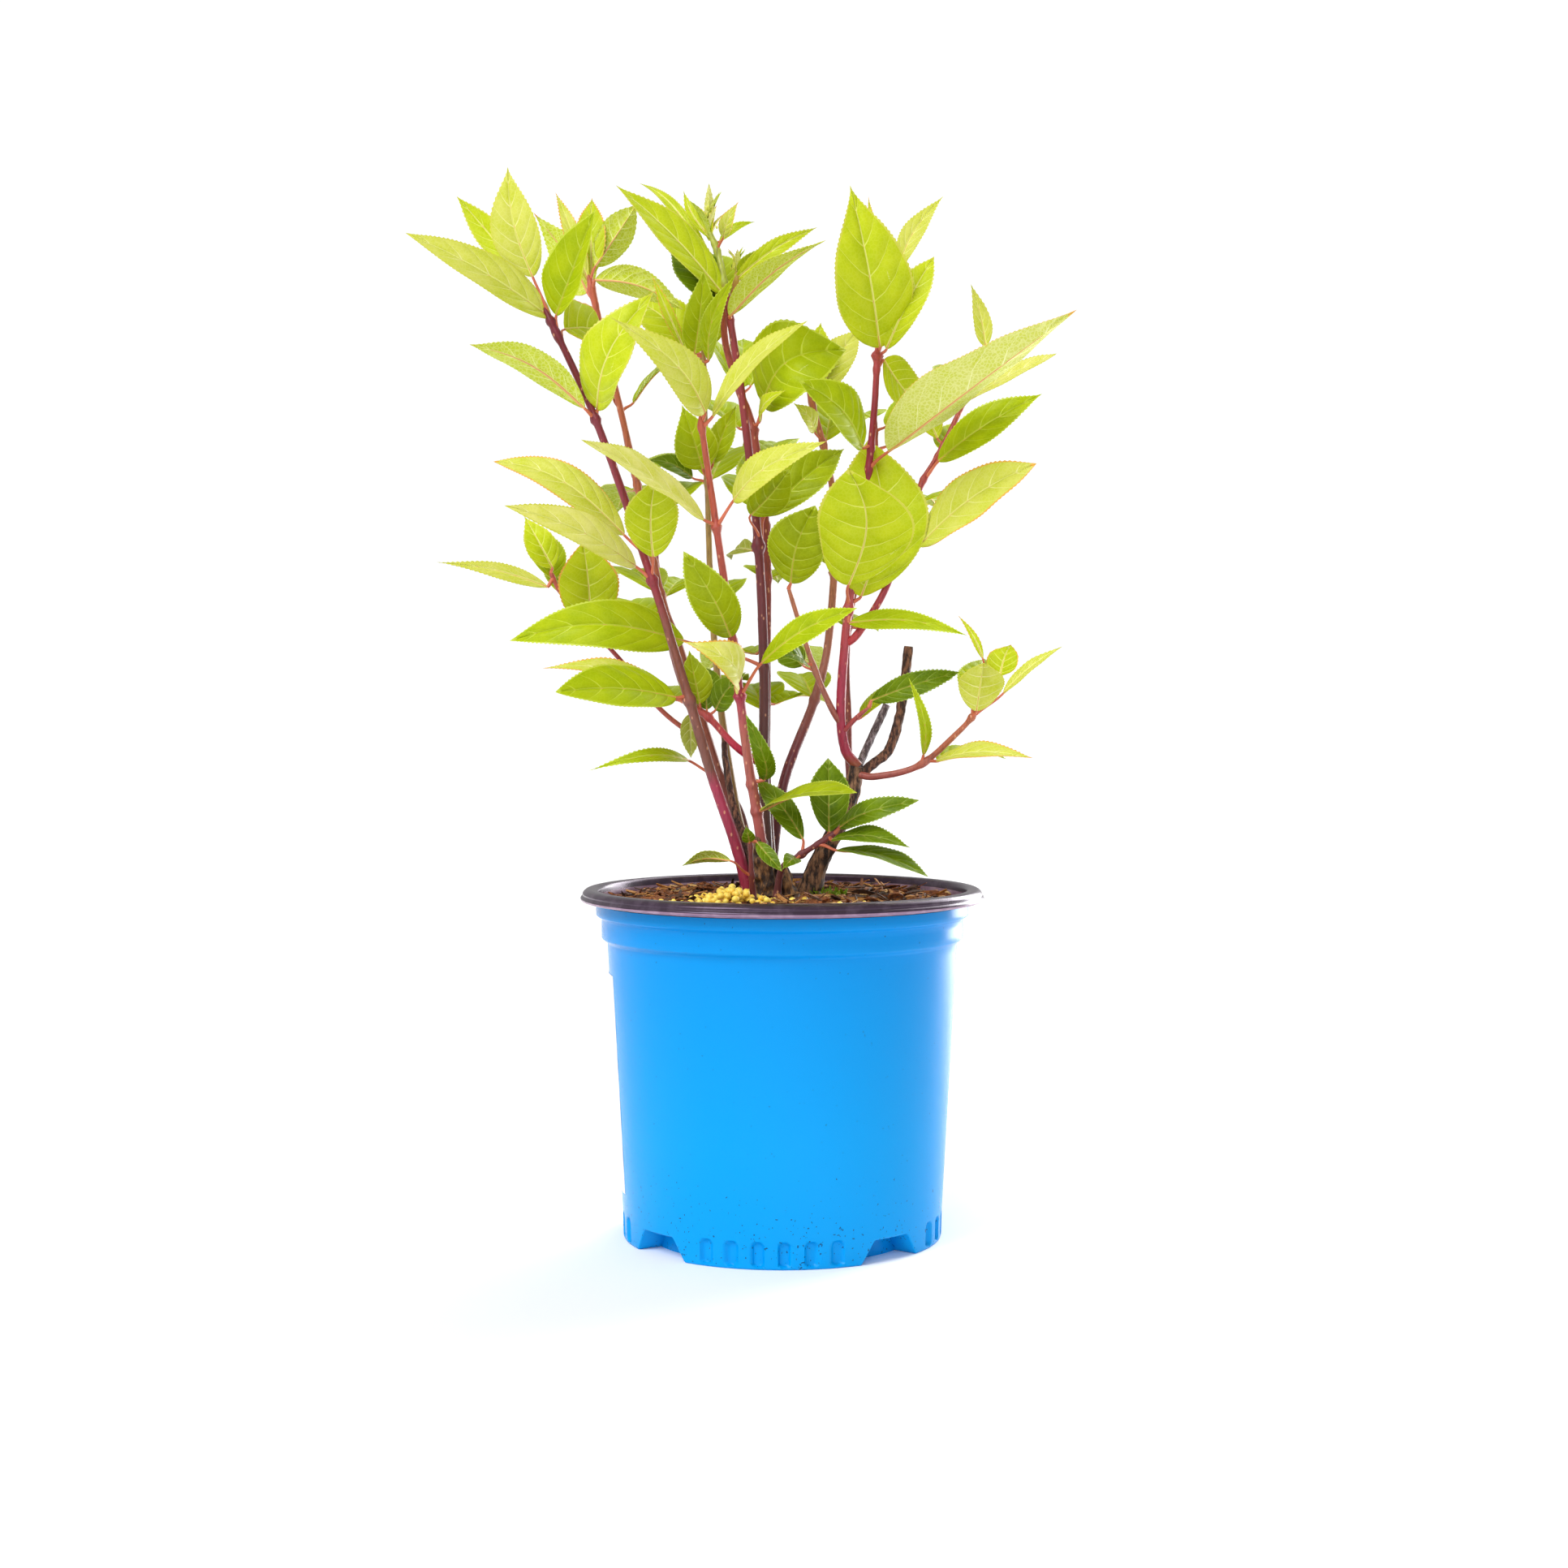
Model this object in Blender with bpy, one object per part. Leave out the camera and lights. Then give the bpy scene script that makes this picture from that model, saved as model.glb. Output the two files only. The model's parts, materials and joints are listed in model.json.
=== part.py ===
"""Hydrangea shrub in its nursery pot, as separate closed solids.

Frame: +Z up, front of the shrub towards -Y, origin on the floor under the middle of the pot.
Sizes are in millimetres and become metres when a mesh is made.
"""

import math
from collections import namedtuple

import bmesh
import bpy
from mathutils import Vector
from mathutils.bvhtree import BVHTree

MM = 0.001
GAP = 0.3
SHARP_ANGLE = math.radians(35)

# Pot
SEGMENTS = 40
WALL = 1.6
FLOOR = 2.4
BASE_RADIUS = 86.6
BASE_TOP_RADIUS = 87.1
BASE_EDGE = 1.0
BASE_HEIGHT = 15.4
WALL_FOOT = 16.8
BASE_RING_INNER = 69.0
SHOULDER_RADIUS = 95.4
SHOULDER_HEIGHT = 159.4
SHOULDER_STEP = 2.5
BAND_RADIUS = 98.5
BAND_HEIGHT = 172.2
NECK_RADIUS = 101.5
NECK_FOOT = 174.6
NECK_HEIGHT = 180.4
RIM_TOP = 188.4
RIM_FLAT_START = 1.2
RIM_FLAT_END = 4.2
RIM_EDGE = 0.9
RIM_SKIN = 1.8
LIP_RADIUS = 110.0
LIP_BOTTOM = 182.0
BEAD_STAND = 1.2
BEAD_TOP = 3.0
BEAD_EDGE = 1.0
FOOT_TURN = -3.75
FEET = 4
NOTCH_HEIGHT = 12.0
NOTCH_TOP_WIDTH = 23.4
NOTCH_FOOT_WIDTH = 39.3
NOTCH_DEPTH = 14.0
NOTCH_OVERRUN = 4.0
FLUTES_PER_FOOT = 6
FLUTE_PITCH = 9.2
FLUTE_RADIUS = 3.4
FLUTE_HEIGHT = 14.5
FLUTE_BITE = 1.6
FLUTE_SIDES = 7
FLUTE_POINT = 0.62
FLUTE_STRAIGHT = 0.78

# Blank label on the left side of the wall
LABEL_FOOT = 26.0
LABEL_TOP = 143.0
LABEL_THICKNESS = 0.5
LABEL_FIRST_SEGMENT = 14
LABEL_SEGMENTS = 8

# Soil
SOIL_CLEARANCE = 0.15
SOIL_EDGE = 181.0
SOIL_MIDDLE = 184.0
SOIL_FLAT_RADIUS = 62.0

# Where the shrub's sizes are seen from, in front of the pot
EYE_DISTANCE = 1286.0
EYE_HEIGHT = 292.7

# Stems and leaves
TRUNK_SIDES = 9
LIMB_SIDES = 7
TWIG_SIDES = 5
RING_PITCH = 17.0
SAMPLES = 30
SMALL_STEP = 0.004
STALK_GIRTH = 1.1
STALK_END_GIRTH = 0.9
LARGE_LEAF = 42.0
LARGE_LEAF_STATIONS = (0.11, 0.34, 0.6, 0.82)
SMALL_LEAF_STATIONS = (0.15, 0.45, 0.76)
LEAF_THICKNESS = 0.012
LEAF_FOLD = math.radians(14)
THINNEST_LEAF = 0.8
BASE_ROUNDNESS = 0.65
TEST_MARGIN = 0.5

# Egg-shaped lump that a cluster of flower buds makes: half width and height as shares of its size
BUD_PROFILE = ((0, -0.5), (0.34, -0.34), (0.5, 0.0), (0.36, 0.34), (0, 0.5))
BUD_SIDES = 6

# Leaf whose tip is read as seen from the front, and leaf that is set by its compass heading.
# roll turns it about its length, sway bows it sideways, swing moves its base sideways, widest is the
# share of the length where it is widest, and tip says how sharply it narrows from there.
Seen = namedtuple("Seen", "at across height depth width face stalk arch roll sway swing widest tip",
                  defaults=(50, 9, 0.15, 0, 0, 0, 0.4, 1.7))
Turned = namedtuple("Turned", "at heading rise length width stalk arch roll sway swing widest tip",
                    defaults=(9, 0.1, 0, 0, 0, 0.4, 1.7))
Bud = namedtuple("Bud", "across height depth width length")
Shoot = namedtuple("Shoot", "name parent route girth leafy_from leaves buds", defaults=((),))

COLOURS = {
    "pot_body": (0.0, 0.28, 0.86),
    "pot_rim": (0.03, 0.025, 0.03),
    "label": (0.9, 0.9, 0.88),
    "soil": (0.12, 0.06, 0.03),
    "bark": (0.10, 0.05, 0.04),
    "cane": (0.22, 0.03, 0.04),
    "leaf": (0.30, 0.48, 0.03),
}

SHOOTS = (
    Shoot(
        "left_front", None,
        ((-18, 184, -15), (-25.5, 212, -17), (-38, 248, -20), (-54, 301, -27), (-71, 356, -34),
         (-102, 444, -42), (-130, 505, -46)),
        (3.4, 1.7), 281,
        (
            Seen(498, -150, 582, -50, 25, 110, 25, 0.09, roll=-5, sway=-0.04, swing=-3, tip=1.6),
            Seen(500, -178, 566, -22, 15, 45, 31, -0.07, roll=-35, swing=3, widest=0.5, tip=1.4),
            Seen(493, -206, 546, -66, 25, 45, 5, 0.09, roll=-5, sway=-0.04, swing=6, tip=1.2),
            Seen(492, -102, 559, -72, 28, 65, 9, 0.02, roll=-25, sway=0.02, swing=-5, tip=1.4),
            Seen(490, -94, 485, -14, 40, 65, 11, 0.19, roll=-5, sway=0.02, swing=-9, widest=0.35, tip=1.6),
            Seen(444, -171, 485, -76, 21, -10, 9, 0.11, roll=20, sway=-0.02, swing=-3, widest=0.5, tip=1.4),
            Seen(446, -70, 514, -66, 33, 55, 5, 0.25, roll=-10, sway=0.08, swing=-2, widest=0.45, tip=1.4),
            Seen(356, -152, 397, -80, 24, 45, 11, 0.1, roll=-10, sway=-0.02, swing=4, tip=1.2),
            Seen(358, -69, 412, -64, 28, 105, 14, -0.04, roll=10, sway=-0.04, widest=0.55, tip=1.2),
            Seen(292, -124, 295, -70, 29, 45, 8, 0.05, roll=-10, sway=0.02, widest=0.45, tip=1),
            Seen(290, -131, 308, -34, 14, 45),
        ),
    ),
    Shoot(
        "left_back", None,
        ((-15, 184, 2), (-25.5, 225, 5), (-34, 248, 7), (-56, 318, 11), (-66.5, 349, 12), (-84, 430, 18),
         (-106, 523, 20)),
        (3.3, 1.6), 240,
        (
            Seen(248, -106, 252, -14, 8, 45, 17, 0.3, roll=-15, sway=-0.06, swing=10, tip=1.9),
            Seen(366, -158, 421, 40, 21, 25, 24, 0.19, roll=-30, sway=0.02, swing=5, tip=1.1),
            Seen(512, -124, 568, 34, 9, 70), Seen(516, -104, 565, 44, 16, 60),
            Seen(510, -136, 557, 50, 24, -70),
            Seen(522, -80, 561, 26, 19, -70, 9, 0.08, roll=10, sway=-0.02, swing=2, widest=0.55, tip=1.1),
            Seen(519, -54, 504, 2, 21, -45, 3, 0.02, sway=0.1, swing=7, tip=1.1),
            Turned(410, 105, -10, 56, 28), Turned(350, 115, 10, 66, 30), Turned(470, 95, 35, 58, 26),
        ),
    ),
    Shoot(
        "centre_front", None,
        ((-8, 184, -27), (-13, 224, -28), (-19, 260, -31), (-27, 323, -38), (-36, 385, -46),
         (-45, 446, -53)),
        (3.1, 1.6), 222,
        (
            Seen(443, -94, 500, -96, 22, 65, 3, 0.17, roll=-10, sway=0.04, swing=6, widest=0.3, tip=1.6),
            Seen(440, 14, 498, -88, 19, 40, 9, 0.07, roll=5, sway=-0.02, swing=-2, tip=1.3),
            Seen(385, -110, 433, -100, 25, 40, 9, 0.04, roll=-5, widest=0.45, tip=1.2),
            Seen(387, 24, 432, -92, 19, 60, 16, 0.14, roll=5, swing=-7, widest=0.35, tip=1.3),
            Seen(323, -54, 372, -86, 23, 90, 3, 0.07, roll=-10, sway=0.04, widest=0.5, tip=1.1),
            Seen(293, -55, 323, -70, 23, 50, 5, 0.29, roll=-15, sway=-0.02, swing=2, tip=1.8),
            Seen(295, 41, 341, -88, 14, 55, 22, 0.05, roll=20, sway=-0.04, swing=-8, widest=0.5, tip=1.2),
            Seen(246, -20, 283, -66, 10, 75, 3, 0.2, roll=-5, sway=0.1, swing=7, widest=0.5, tip=1.1),
            Seen(230, 41, 240, -96, 20, 40, 4, 0.06, roll=-5, widest=0.5, tip=1.1),
        ),
    ),
    Shoot(
        "centre_bud", None,
        ((-7, 184, -6), (-10, 246, 0), (-10, 306, 3), (-13, 374, 4), (-21, 448, 4), (-31, 514, 0),
         (-35, 534, 5), (-40, 547, 7)),
        (3.2, 1.5), 296,
        (
            Seen(512, -91, 572, -16, 25, 45, 3, 0.05, widest=0.45, tip=1.5), Seen(520, -78, 573, 60, 7, 60),
            Seen(540, -54, 569, 14, 6, 55, 3, 0.09, roll=-5, sway=-0.1, widest=0.45, tip=1.8),
            Seen(540, -15, 552, 8, 6, 55, 3, 0.2, sway=0.04), Seen(536, -24, 563, -14, 8, 70),
            Seen(500, 24, 542, -36, 25, 0, 3, 0.08, sway=-0.02, swing=4, widest=0.35, tip=1.9),
            Seen(506, -62, 536, 14, 26, 60, 7),
            Seen(374, 34, 428, 22, 23, 70, 17, 0.17, sway=0.02, swing=-9, widest=0.5, tip=1.6),
            Seen(378, 4, 417, -24, 21, 105, 16, -0.01, roll=15, sway=0.04, swing=-10, tip=1.1),
            Seen(376, -28, 367, 40, 13, 60),
            Seen(310, -149, 323, -5, 27, 75, 45, 0.18, roll=-5, sway=0.06, swing=10, widest=0.35, tip=1.1),
        ),
        (Bud(-40, 553, 7, 16, 24),),
    ),
    Shoot(
        "centre_second", None,
        ((-5, 184, 5), (-9, 246, 11), (-9, 300, 15), (-9, 380, 22), (-16, 437, 26), (-24, 461, 25),
         (-31, 486, 21), (-31, 503, 17), (-26, 514, 15), (-24.5, 525, 14)),
        (3.1, 1.5), 330,
        (
            Seen(437, 35, 482, 10, 45, 70, 14, 0.29, sway=-0.12, swing=-9, widest=0.5, tip=1.2),
            Seen(440, 2, 460, -4, 11, 60),
            Seen(514, 19, 549, 14, 10, 80, 3, 0.28, roll=-5, sway=0.06, swing=-5, widest=0.45, tip=1.6),
            Seen(520, -7, 539, 4, 16, 85, 3, 0.05, sway=0.1, widest=0.35, tip=1.3),
            Turned(421, 70, 10, 62, 28), Turned(386, 100, 50, 56, 28), Turned(505, 100, 40, 52, 24),
            Turned(360, 85, 0, 62, 32),
        ),
        (Bud(-24.5, 529, 14, 9, 13),),
    ),
    Shoot(
        "back_olive", None,
        ((-12, 184, 26), (-17, 205, 30), (-25, 231, 36), (-34, 290, 44), (-39, 350, 46), (-41, 409, 40),
         (-43.5, 484, 20)),
        (2.6, 1.4), 312,
        (
            Seen(478, -43, 526, -18, 18, 70, 3, 0.09, roll=10, swing=-5, widest=0.45, tip=1.4),
            Seen(474, -71, 522, -8, 6, 90, 17, 0.2, roll=-10, sway=0.02, swing=-4, widest=0.55, tip=1.5),
            Seen(475, -25, 524, -26, 11, 80, 4, 0.07, sway=-0.06, swing=2, tip=1.6),
            Seen(478, -82, 509, 46, 28, 60), Seen(409, -55, 452, 22, 24, 80),
            Seen(414, -25, 452, 44, 14, 70), Seen(409, -74, 422, 34, 14), Turned(409, 75, 20, 66, 32),
            Turned(478, 80, 40, 56, 26), Turned(345, 85, 10, 66, 32),
        ),
    ),
    Shoot(
        "back_right", None,
        ((-8, 184, 16), (0.5, 244, 22), (17.5, 291, 34), (26, 330, 42), (28, 400, 50), (14, 462, 56)),
        (3.2, 1.6), 284,
        (
            Seen(455, 21, 497, 60, 19, 70), Seen(452, 43, 494, 72, 20, 60), Seen(433, 6, 453, 34, 12, 60),
            Turned(291, 100, 10, 62, 30), Turned(361, 105, 30, 62, 30), Turned(362, 15, 20, 54, 28),
            Turned(430, 80, 30, 60, 28),
        ),
    ),
    Shoot(
        "right_centre", "trunk_right",
        ((41, 254.5, -6), (34, 265, -8), (32, 290, -14), (36, 339, -20), (44, 390, -22),
         (50, 446, -24), (52, 483, -25)),
        (3.0, 1.6), 333,
        (
            Seen(480, 37, 572, -52, 43, 65, 3, 0.11, roll=10, sway=-0.02, swing=2, tip=1.6),
            Seen(478, 83, 533, -30, 18, 70, 7, roll=-5, sway=0.02, swing=2, widest=0.55, tip=1.2),
            Seen(479, 88, 566, 18, 12, 40, 58, -0.03, roll=5, sway=-0.08, swing=-8, widest=0.45),
            Seen(481, 47, 566, 4, 8, 60),
            Seen(430, 9, 465, -62, 27, 70, 6, 0.11, roll=10, sway=0.04, swing=-4, widest=0.45, tip=1.1),
            Seen(418, 161, 504, -76, 50, -10, 16, -0.05, sway=0.1, swing=3, widest=0.3, tip=1.2),
            Seen(472, 78, 451, 10, 23, 80, 3, 0.08, sway=0.12, swing=-7, widest=0.3, tip=1.1),
            Seen(342, 36, 417, -84, 50, 90, 16, -0.06, roll=-5, sway=0.12, widest=0.55, tip=1.1),
            Seen(342, 47, 433, -16, 49, 40, 7, 0.08, roll=10, sway=0.1, swing=6, widest=0.5, tip=1.1),
            Seen(339, 101, 326, -62, 11, 85, 3, 0.02, roll=-5, sway=-0.06, swing=6, widest=0.3, tip=1.4),
        ),
    ),
    Shoot(
        "right_side", "right_centre",
        ((34, 321, -17), (42, 328, -20), (58, 355, -20), (74, 404, -12), (87, 428, -6), (109, 474, 2)),
        (2.3, 1.3), 372,
        (
            Seen(455, 150, 480, -14, 12, 35, 3, 0.06, roll=5, sway=0.04, widest=0.55, tip=1.2),
            Seen(412, 142, 458, -34, 21, 65, 12, 0.14, roll=-5, sway=0.04, swing=-4, widest=0.5, tip=1.5),
            Seen(380, 139, 420, -56, 29, 60, 8, 0.02, sway=-0.06, swing=10, widest=0.5, tip=1.1),
            Seen(430, 73, 450, 30, 14, 60),
            Seen(468, 103, 518, -8, 10, 45, 17, -0.07, roll=10, sway=0.06, swing=7, widest=0.3, tip=1.6),
            Turned(455, 95, 25, 56, 26), Turned(400, 75, 0, 62, 30), Turned(425, 60, 20, 54, 26),
        ),
    ),
    Shoot(
        "right_inner", "right_centre",
        ((32, 278, -12), (26, 288, -15), (16, 312, -17), (3, 353, -18)),
        (1.9, 1.2), 300,
        (
            Seen(352, 18, 397, -46, 31, 90, 4, 0.03, sway=-0.06, widest=0.55, tip=1.1),
            Seen(306, -4, 318, -4, 16, 60), Seen(310, -2, 315, -44, 15, 60),
        ),
    ),
    Shoot(
        "right_knot", "right_centre",
        ((34, 274, -12), (40, 280.5, -14), (47, 286.5, -16)),
        (1.4, 1.2), 282,
        (Seen(287, 97, 306, -24, 13, 85, 3, roll=-5, swing=-3, widest=0.45, tip=1.1),),
    ),
    Shoot(
        "right_low", "trunk_right",
        ((41, 250, -7), (52, 249, -12), (75, 255, -18), (96, 273, -24), (106, 284, -26)),
        (2.1, 1.3), 252,
        (
            Seen(256, 69, 303, -44, 6, 50, 5, 0.16, roll=-5, sway=0.04, swing=2, tip=1.4),
            Seen(258, 137, 259, -52, 18, 25, 6, 0.1, roll=5, sway=0.04, tip=1.6),
            Seen(281, 110, 311, -56, 24, 90, 6, -0.13, roll=5, sway=0.02, swing=2, widest=0.55, tip=1.2),
            Seen(282, 125, 321, -8, 18, 35, 28, 0.13, roll=-5, swing=3, widest=0.35, tip=1.4),
            Seen(282, 96, 337, -20, 4, 85, 30, 0.09, roll=5, sway=0.04, swing=10, widest=0.35, tip=1.8),
            Seen(281, 153, 320, -34, 9, 35, 22, 0.06, roll=-5, tip=1.5), Turned(258, 40, 0, 52, 25),
            Turned(289, 80, 30, 50, 24),
        ),
    ),
    Shoot(
        "low_front", None,
        ((-3, 184, -37), (0, 199, -41), (10, 206, -47), (21, 213, -54), (30, 219, -58)),
        (1.8, 1.2), 200,
        (
            Seen(214, 25, 259, -44, 22, 95, 5, -0.06, roll=15, sway=0.02, swing=3, widest=0.55, tip=1.2),
            Seen(218, 75, 236, -86, 12, 60, 4, 0.21, roll=5, sway=0.04, swing=-2, widest=0.55, tip=1.1),
            Seen(216, 70, 210, -98, 14, 40, 4, 0.09, swing=2, widest=0.45, tip=1.5),
            Seen(212, 80, 194, -96, 16, 10, 13, 0.07, roll=5, widest=0.5, tip=1.2),
            Seen(207, -15, 248, -20, 13, 55, 7, -0.05, roll=-20, sway=0.04, swing=4, widest=0.5, tip=1.2),
            Seen(206, 0, 198, -66, 9, 60, 5),
        ),
    ),
    Shoot(
        "low_left", None,
        ((-16, 184, -41), (-17, 200, -45), (-17.5, 215, -47)),
        (1.5, 1.1), 192,
        (
            Seen(195, -55, 200, -58, 10, 10, 16, 0.24, roll=50, sway=0.14, swing=-10, widest=0.45, tip=1.6),
            Seen(214, 0, 197, -60, 8, 40, 3, 0.04, roll=15, sway=0.02, swing=-2, widest=0.45, tip=1.2),
            Seen(211, -20, 222, -54, 7, 80, 3),
        ),
    ),
    Shoot(
        "left_inner", "centre_bud",
        ((-10, 255, 1), (-25, 265, -8), (-40, 281, -9), (-50, 287, -9)),
        (2.4, 1.4), 268,
        (
            Seen(286, -50, 259, -16, 11, 40, 3, 0.1, roll=-5, swing=2, widest=0.45, tip=1.3),
            Seen(284, -51, 318, -14, 18, 80, 5), Seen(282, -43, 309, 18, 18, 60, 5),
            Seen(281, -20, 306, -20, 16, 60, 6),
        ),
    ),
    Shoot(
        "left_thin", "left_back",
        ((-41, 266, 8), (-66, 285, 14), (-88, 312, 18), (-118, 345, 20), (-127, 361, 20)),
        (1.5, 1.0), 322,
        (
            Seen(357, -189, 366, 4, 9, 70, 3, 0.02, roll=-5, sway=0.04, swing=-5, widest=0.35, tip=2.1),
            Seen(360, -141, 391, 24, 17, 75, 3, 0.19, roll=5, sway=-0.02, swing=2, widest=0.35),
            Seen(327, -109, 377, -8, 33, 90, 4, -0.1, roll=5, sway=0.02, swing=-3, widest=0.5, tip=1.1),
            Turned(345, 95, 20, 52, 25), Turned(352, 120, 40, 48, 23),
        ),
    ),
    Shoot(
        "rear_left", None,
        ((-14, 184, 46), (-22, 225, 52), (-33, 248, 58), (-55, 301, 74), (-67, 350, 88), (-72, 390, 94),
         (-82, 418, 98), (-88, 448, 104)),
        (2.9, 1.5), 270,
        (
            Turned(290, 120, 0, 66, 32), Turned(290, 60, 10, 62, 30), Turned(340, 125, 0, 70, 34),
            Turned(348, 75, 10, 56, 32), Turned(390, 60, 20, 66, 32), Turned(390, 120, 10, 70, 34),
            Turned(414, 50, 10, 66, 32), Turned(456, 170, 60, 50, 24), Turned(448, 10, 40, 50, 24),
            Turned(456, 170, 60, 50, 24),
        ),
    ),
    Shoot(
        "rear_centre", None,
        ((-4, 184, 42), (-9, 250, 66), (-10, 306, 84), (-12, 380, 108), (-16, 415, 115), (-22, 457, 122)),
        (3.0, 1.5), 262,
        (
            Turned(285, 100, 10, 70, 34), Turned(290, 50, 0, 51, 28), Turned(319, 65, -10, 72, 34),
            Turned(319, 120, -10, 70, 34), Turned(393, 100, 20, 72, 34), Turned(393, 50, 20, 58, 28),
            Turned(422, 70, 10, 66, 32), Turned(438, 130, 20, 62, 30), Turned(464, 90, 40, 56, 27),
            Turned(464, 40, 45, 48, 22), Turned(464, 150, 50, 48, 22),
        ),
    ),
    Shoot(
        "rear_right", None,
        ((14, 184, 36), (24, 210, 40), (36, 236, 46), (36, 270, 54), (36, 330, 68), (50, 400, 84),
         (50.5, 446, 94)),
        (2.9, 1.5), 258,
        (
            Turned(280, 25, 20, 64, 31), Turned(330, 75, 0, 70, 34), Turned(330, 25, 0, 54, 26),
            Turned(380, 45, 20, 64, 31), Turned(380, 105, 20, 64, 31), Turned(428, 20, 30, 64, 31),
            Turned(438, 30, 30, 50, 24), Turned(446, 100, 0, 54, 26), Turned(438, 30, 30, 46, 22),
        ),
    ),
)

TRUNK_ROUTE = ((14, 184, 0), (18.5, 198, -1), (27, 215.5, -2), (36, 233, -4), (41, 254.5, -6))
TRUNK_GIRTH = (5.8, 4.1)
TRUNK_FLARE = 2.6
FLARE_HEIGHT = 6.0
STUBS = (
    (((38, 247, -5), (50, 256, -2), (58, 263, 0), (62.5, 276, 1), (66.5, 297, 1), (69, 320, 1)), (2.7, 2.5)),
    (((40, 252, -6), (45, 262, 3), (50, 273, 7), (57, 288, 10)), (2.2, 1.9)),
)
SNAG_ROUTE = ((-11.5, 184, -13), (-17.3, 207.5, -12), (-26, 230, -9), (-31, 257, -4), (-31.5, 271, -2))
SNAG_GIRTH = (2.6, 1.6)


def clear_scene():
    """Remove whatever the file holds."""
    for item in list(bpy.data.objects):
        bpy.data.objects.remove(item, do_unlink=True)


def material(name, colour, roughness):
    """Return the named material, made once."""
    made = bpy.data.materials.get(name)
    if made:
        return made
    made = bpy.data.materials.new(name)
    made.use_nodes = True
    shader = made.node_tree.nodes["Principled BSDF"]
    shader.inputs["Base Color"].default_value = (*colour, 1)
    shader.inputs["Roughness"].default_value = roughness
    return made


def to_object(name, shape, collection=None):
    """Make an object from vertices in millimetres and their faces."""
    verts, faces = shape
    mesh = bpy.data.meshes.new(name)
    mesh.from_pydata([Vector(v) * MM for v in verts], [], faces)
    bm = bmesh.new()
    bm.from_mesh(mesh)
    bmesh.ops.recalc_face_normals(bm, faces=bm.faces)
    bm.to_mesh(mesh)
    bm.free()
    item = bpy.data.objects.new(name, mesh)
    (collection or bpy.context.scene.collection).objects.link(item)
    return item


def finish(item, colour, roughness=0.6, smooth=True):
    """Give an object its own material and smooth shading."""
    item.data.materials.clear()
    item.data.materials.append(material(item.name, COLOURS[colour], roughness))
    if smooth:
        item.data.shade_smooth()
        item.data.set_sharp_from_angle(angle=SHARP_ANGLE)
    return item


def fuse(item, pieces, operation):
    """Join pieces to an object, or cut them from it, with one Boolean on their collection."""
    group = bpy.data.collections.new(item.name + "_pieces")
    bpy.context.scene.collection.children.link(group)
    for number, shape in enumerate(pieces):
        piece = to_object(f"{item.name}_piece_{number}", shape, group)
        piece.hide_render = True
        piece.display_type = "WIRE"
    boolean = item.modifiers.new("fuse", "BOOLEAN")
    boolean.operation = operation
    boolean.operand_type = "COLLECTION"
    boolean.collection = group
    boolean.solver = "MANIFOLD" if operation == "UNION" else "EXACT"
    bpy.context.view_layer.update()
    result = bpy.data.meshes.new_from_object(item.evaluated_get(bpy.context.evaluated_depsgraph_get()))
    item.modifiers.clear()
    item.data = result
    for piece in list(group.objects):
        bpy.data.objects.remove(piece, do_unlink=True)
    bpy.data.collections.remove(group)
    keep_main_body(item.data)


def keep_main_body(mesh):
    """Drop loose scraps and sealed hollows, and keep the largest closed body."""
    bm = bmesh.new()
    bm.from_mesh(mesh)
    bmesh.ops.dissolve_degenerate(bm, dist=1e-6, edges=bm.edges)
    bodies = []
    left = set(bm.faces)
    while left:
        body, front = [], [left.pop()]
        while front:
            face = front.pop()
            body.append(face)
            for edge in face.edges:
                for other in edge.link_faces:
                    if other in left:
                        left.discard(other)
                        front.append(other)
        bodies.append(body)
    bodies.sort(key=len, reverse=True)
    for scrap in bodies[1:]:
        bmesh.ops.delete(bm, geom=scrap, context="FACES")
    bm.to_mesh(mesh)
    bm.free()


def turned(profile):
    """Turn a profile of radius and height round the Z axis into a closed shape."""
    verts, rings = [], []
    for radius, height in profile:
        if radius == 0:
            rings.append([len(verts)])
            verts.append((0, 0, height))
            continue
        rings.append(range(len(verts), len(verts) + SEGMENTS))
        for step in range(SEGMENTS):
            angle = math.tau * step / SEGMENTS
            verts.append((radius * math.cos(angle), radius * math.sin(angle), height))
    faces = []
    pairs = list(zip(rings, rings[1:]))
    if profile[0][0] != 0:
        pairs.append((rings[-1], rings[0]))
    for low, high in pairs:
        for step in range(SEGMENTS):
            corners = []
            for ring, order in ((low, (0, 1)), (high, (1, 0))):
                for turn in order:
                    corner = ring[(step + turn) % len(ring)]
                    if corner not in corners:
                        corners.append(corner)
            faces.append(corners)
    return verts, faces


def tube(path, radii, sides, axes=None, level_foot=False):
    """Tapering tube through a list of points, with flat ends that face along the axes there."""
    overall = (path[-1] - path[0]).normalized()
    guide = min((Vector((1, 0, 0)), Vector((0, 1, 0)), Vector((0, 0, 1))), key=lambda v: abs(v @ overall))
    verts, faces = [], []
    for number, (point, radius) in enumerate(zip(path, radii)):
        before, after = path[max(number - 1, 0)], path[min(number + 1, len(path) - 1)]
        axis = axes[number] if axes else (after - before).normalized()
        if level_foot and number == 0:
            axis = Vector((0, 0, 1))
        across = axis.cross(guide).normalized()
        along = axis.cross(across)
        for side in range(sides):
            angle = math.tau * side / sides
            verts.append(point + radius * (math.cos(angle) * across + math.sin(angle) * along))
    for ring in range(len(path) - 1):
        for side in range(sides):
            low, high = ring * sides, (ring + 1) * sides
            turn = (side + 1) % sides
            faces.append((low + side, low + turn, high + turn, high + side))
    faces.append(tuple(range(sides)))
    faces.append(tuple(range((len(path) - 1) * sides, len(path) * sides)))
    return verts, faces


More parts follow.
